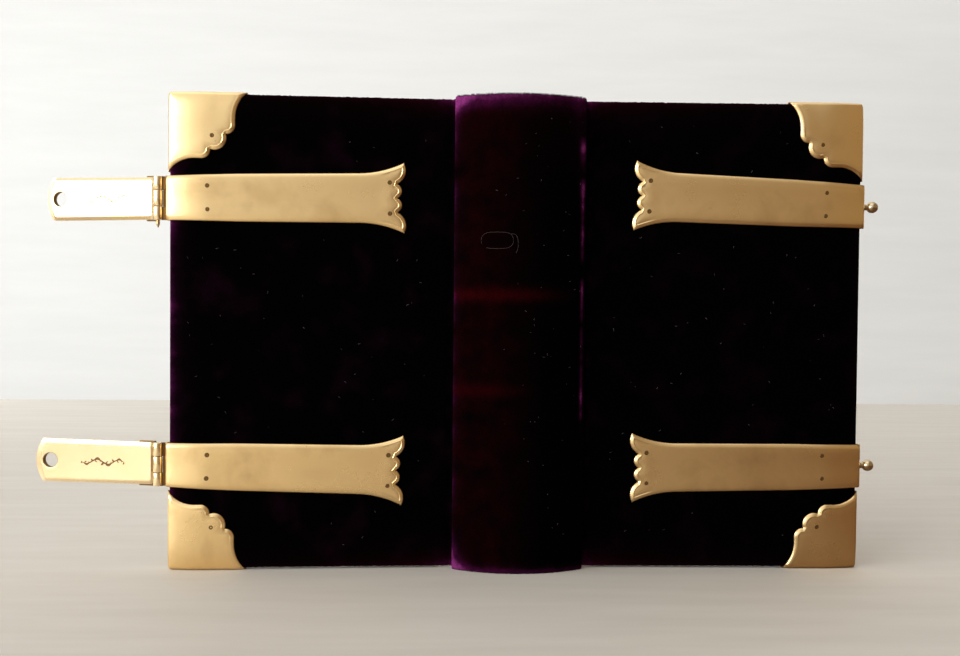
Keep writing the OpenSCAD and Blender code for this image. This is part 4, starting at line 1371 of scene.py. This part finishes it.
for book_cover in (BACK, FRONT):
    cover_velvet(book_cover)
    pastedown(book_cover)
    nails(book_cover)
    for cover_end in ("head", "tail"):
        corner(book_cover, cover_end)
spine_velvet()
for position in ("upper", "lower"):
    strap(BACK, position, "clasp")
    strap(FRONT, position, "catch")
    strap_knuckles(position)
    clasp_leaf(position)
    stud(position)
for number in range(1, 14):
    gathering(number)
for side_name in ("back", "front"):
    loose_leaf(side_name + "_flyleaf", ENDPAPER, "endpaper", 0.22, 42.0)
loose_leaf("last_leaf", PAGE, "page_paper", 0.15, 60.0)
loose_leaf("first_leaf", PAGE, "page_paper", 0.15, 60.0)
headband("head_band_silk", box_mm("head_band")[0].z + 0.7, "head_band")
headband("tail_band_silk", box_mm("tail_band")[0].z + 0.7, "tail_band")
lint()

# ---- Stage, light and camera ----


def stage_slab(name, corners, depth, material):
    """A flat slab from four corners on its top, pushed down by depth."""
    verts = [tuple(c) for c in corners] + [(c[0], c[1], c[2] - depth) for c in corners]
    faces = [(0, 1, 2, 3), (7, 6, 5, 4)] + [(i, (i + 1) % 4, 4 + (i + 1) % 4, 4 + i) for i in range(4)]
    mesh = bpy.data.meshes.new(name)
    mesh.from_pydata(verts, [], faces)
    mesh.materials.append(material)
    slab = bpy.data.objects.new(name, mesh)
    bpy.context.scene.collection.objects.link(slab)


def stage_material(name, colour, other, size, room=None):
    """A plain finish with faint grain.

    room holds painted reflections: other colours, from left to right, that only reflections and bounced light
    meet, for the window side and the brown side of a room. The camera doesn't see them; None leaves them out."""
    n = Nodes(name)
    grain = n.noise(size, 5.0, 0.6, vector=n.coords((0.12, 1, 1)))
    base = n.mix(n.ramp(grain, [(0.35, 0.0), (0.7, 1.0)]), colour, other)
    if room:
        across = n.add("ShaderNodeSeparateXYZ", {"Vector": n.coords()}).outputs["X"]
        share = n.math("DIVIDE", n.math("ADD", across, 280.0), 410.0, clamp=True)
        seen = n.add("ShaderNodeLightPath").outputs["Is Camera Ray"]
        base = n.mix(seen, n.ramp(share, room), base)
    return n.finish(Base_Color=base, Roughness=0.62, Specular_IOR_Level=0.3)


TABLE_BACK, WALL_Y = 0.513, 1.5
# The floor's room colours are painted reflections: near white on the window side, dark brown to the right.
floor_material = stage_material("pale_floor", (0.55, 0.52, 0.47), (0.60, 0.57, 0.52), 9.0,
                                room=[(0.0, (0.45, 0.36, 0.25)), (0.1, (1.0, 1.0, 0.97)),
                                      (0.27, (0.95, 0.93, 0.87)), (0.43, (0.60, 0.54, 0.45)),
                                      (1.0, (0.14, 0.07, 0.032))])
wall_material = stage_material("pale_wall", (0.80, 0.84, 0.86), (0.84, 0.88, 0.90), 30.0)
stage_slab("floor", [(-2, -1.6, 0), (2, -1.6, 0), (2, TABLE_BACK, 0), (-2, TABLE_BACK, 0)], 0.02,
           floor_material)
stage_slab("wall", [(-3, WALL_Y, 2.2), (3, WALL_Y, 2.2), (3, WALL_Y + 0.02, 2.2), (-3, WALL_Y + 0.02, 2.2)],
           3.0, wall_material)


def soft_light(name, place, target, size, power, colour):
    data = bpy.data.lights.new(name, "AREA")
    data.shape = "RECTANGLE"
    data.size, data.size_y = size
    data.energy, data.color = power, colour
    lamp = bpy.data.objects.new(name, data)
    lamp.location = place
    lamp.rotation_euler = (Vector(target) - Vector(place)).to_track_quat("-Z", "Y").to_euler()
    bpy.context.scene.collection.objects.link(lamp)
    lamp.visible_camera = False


soft_light("window", (-1.13, -0.74, 0.38), (0, 0, 0.08), (1.15, 0.6), 12.4, (1.0, 0.995, 0.99))
soft_light("wall_wash", (-0.9, 0.62, 0.3), (-0.3, WALL_Y, 0.05), (1.2, 0.6), 3.4, (0.985, 0.995, 1.0))
soft_light("wall_top", (0.75, 0.75, 1.25), (0.45, WALL_Y, 0.85), (1.2, 0.5), 2.6, (0.985, 0.995, 1.0))
soft_light("top_fill", (-0.2, 0.1, 1.4), (0, 0, 0), (2.2, 2.2), 9.5, (1.0, 1.0, 1.0))


def world_light():
    """Pale surroundings: brighter towards the window side, plain where the camera sees them."""
    world = bpy.data.worlds.new("studio")
    bpy.context.scene.world = world
    n = Nodes("studio", world)
    way = n.add("ShaderNodeTexCoord").outputs["Generated"]
    towards = n.add("ShaderNodeVectorMath", {0: way, 1: (-0.85, -0.31, 0.42)}, operation="DOT_PRODUCT")
    room = n.ramp(towards.outputs["Value"], [(0.0, (0.35, 0.25, 0.15)), (0.15, (0.26, 0.178, 0.105)),
                                             (0.6, (1.0, 0.99, 0.97))])
    seen = n.add("ShaderNodeLightPath").outputs["Is Camera Ray"]
    n.finish(Color=n.mix(seen, room, (0.74, 0.76, 0.77)), Strength=1.0)


world_light()


def camera():
    """The camera stands a little left of the spine and above mid height."""
    data = bpy.data.cameras.new("camera")
    data.lens, data.sensor_width = 41.8, 36.0
    eye = bpy.data.objects.new("camera", data)
    bpy.context.scene.collection.objects.link(eye)
    yaw, pitch, roll = math.radians(2.186), math.radians(-1.512), math.radians(0.514)
    look = Matrix.Rotation(-yaw, 4, "Z") @ Matrix.Rotation(math.pi / 2 + pitch, 4, "X") @ Matrix.Rotation(
        roll, 4, "Z")
    eye.matrix_world = Matrix.Translation(Vector((-22.8, -305.1, 75.9)) * MM) @ look
    bpy.context.scene.camera = eye


camera()
bpy.context.scene.view_settings.view_transform = "Standard"
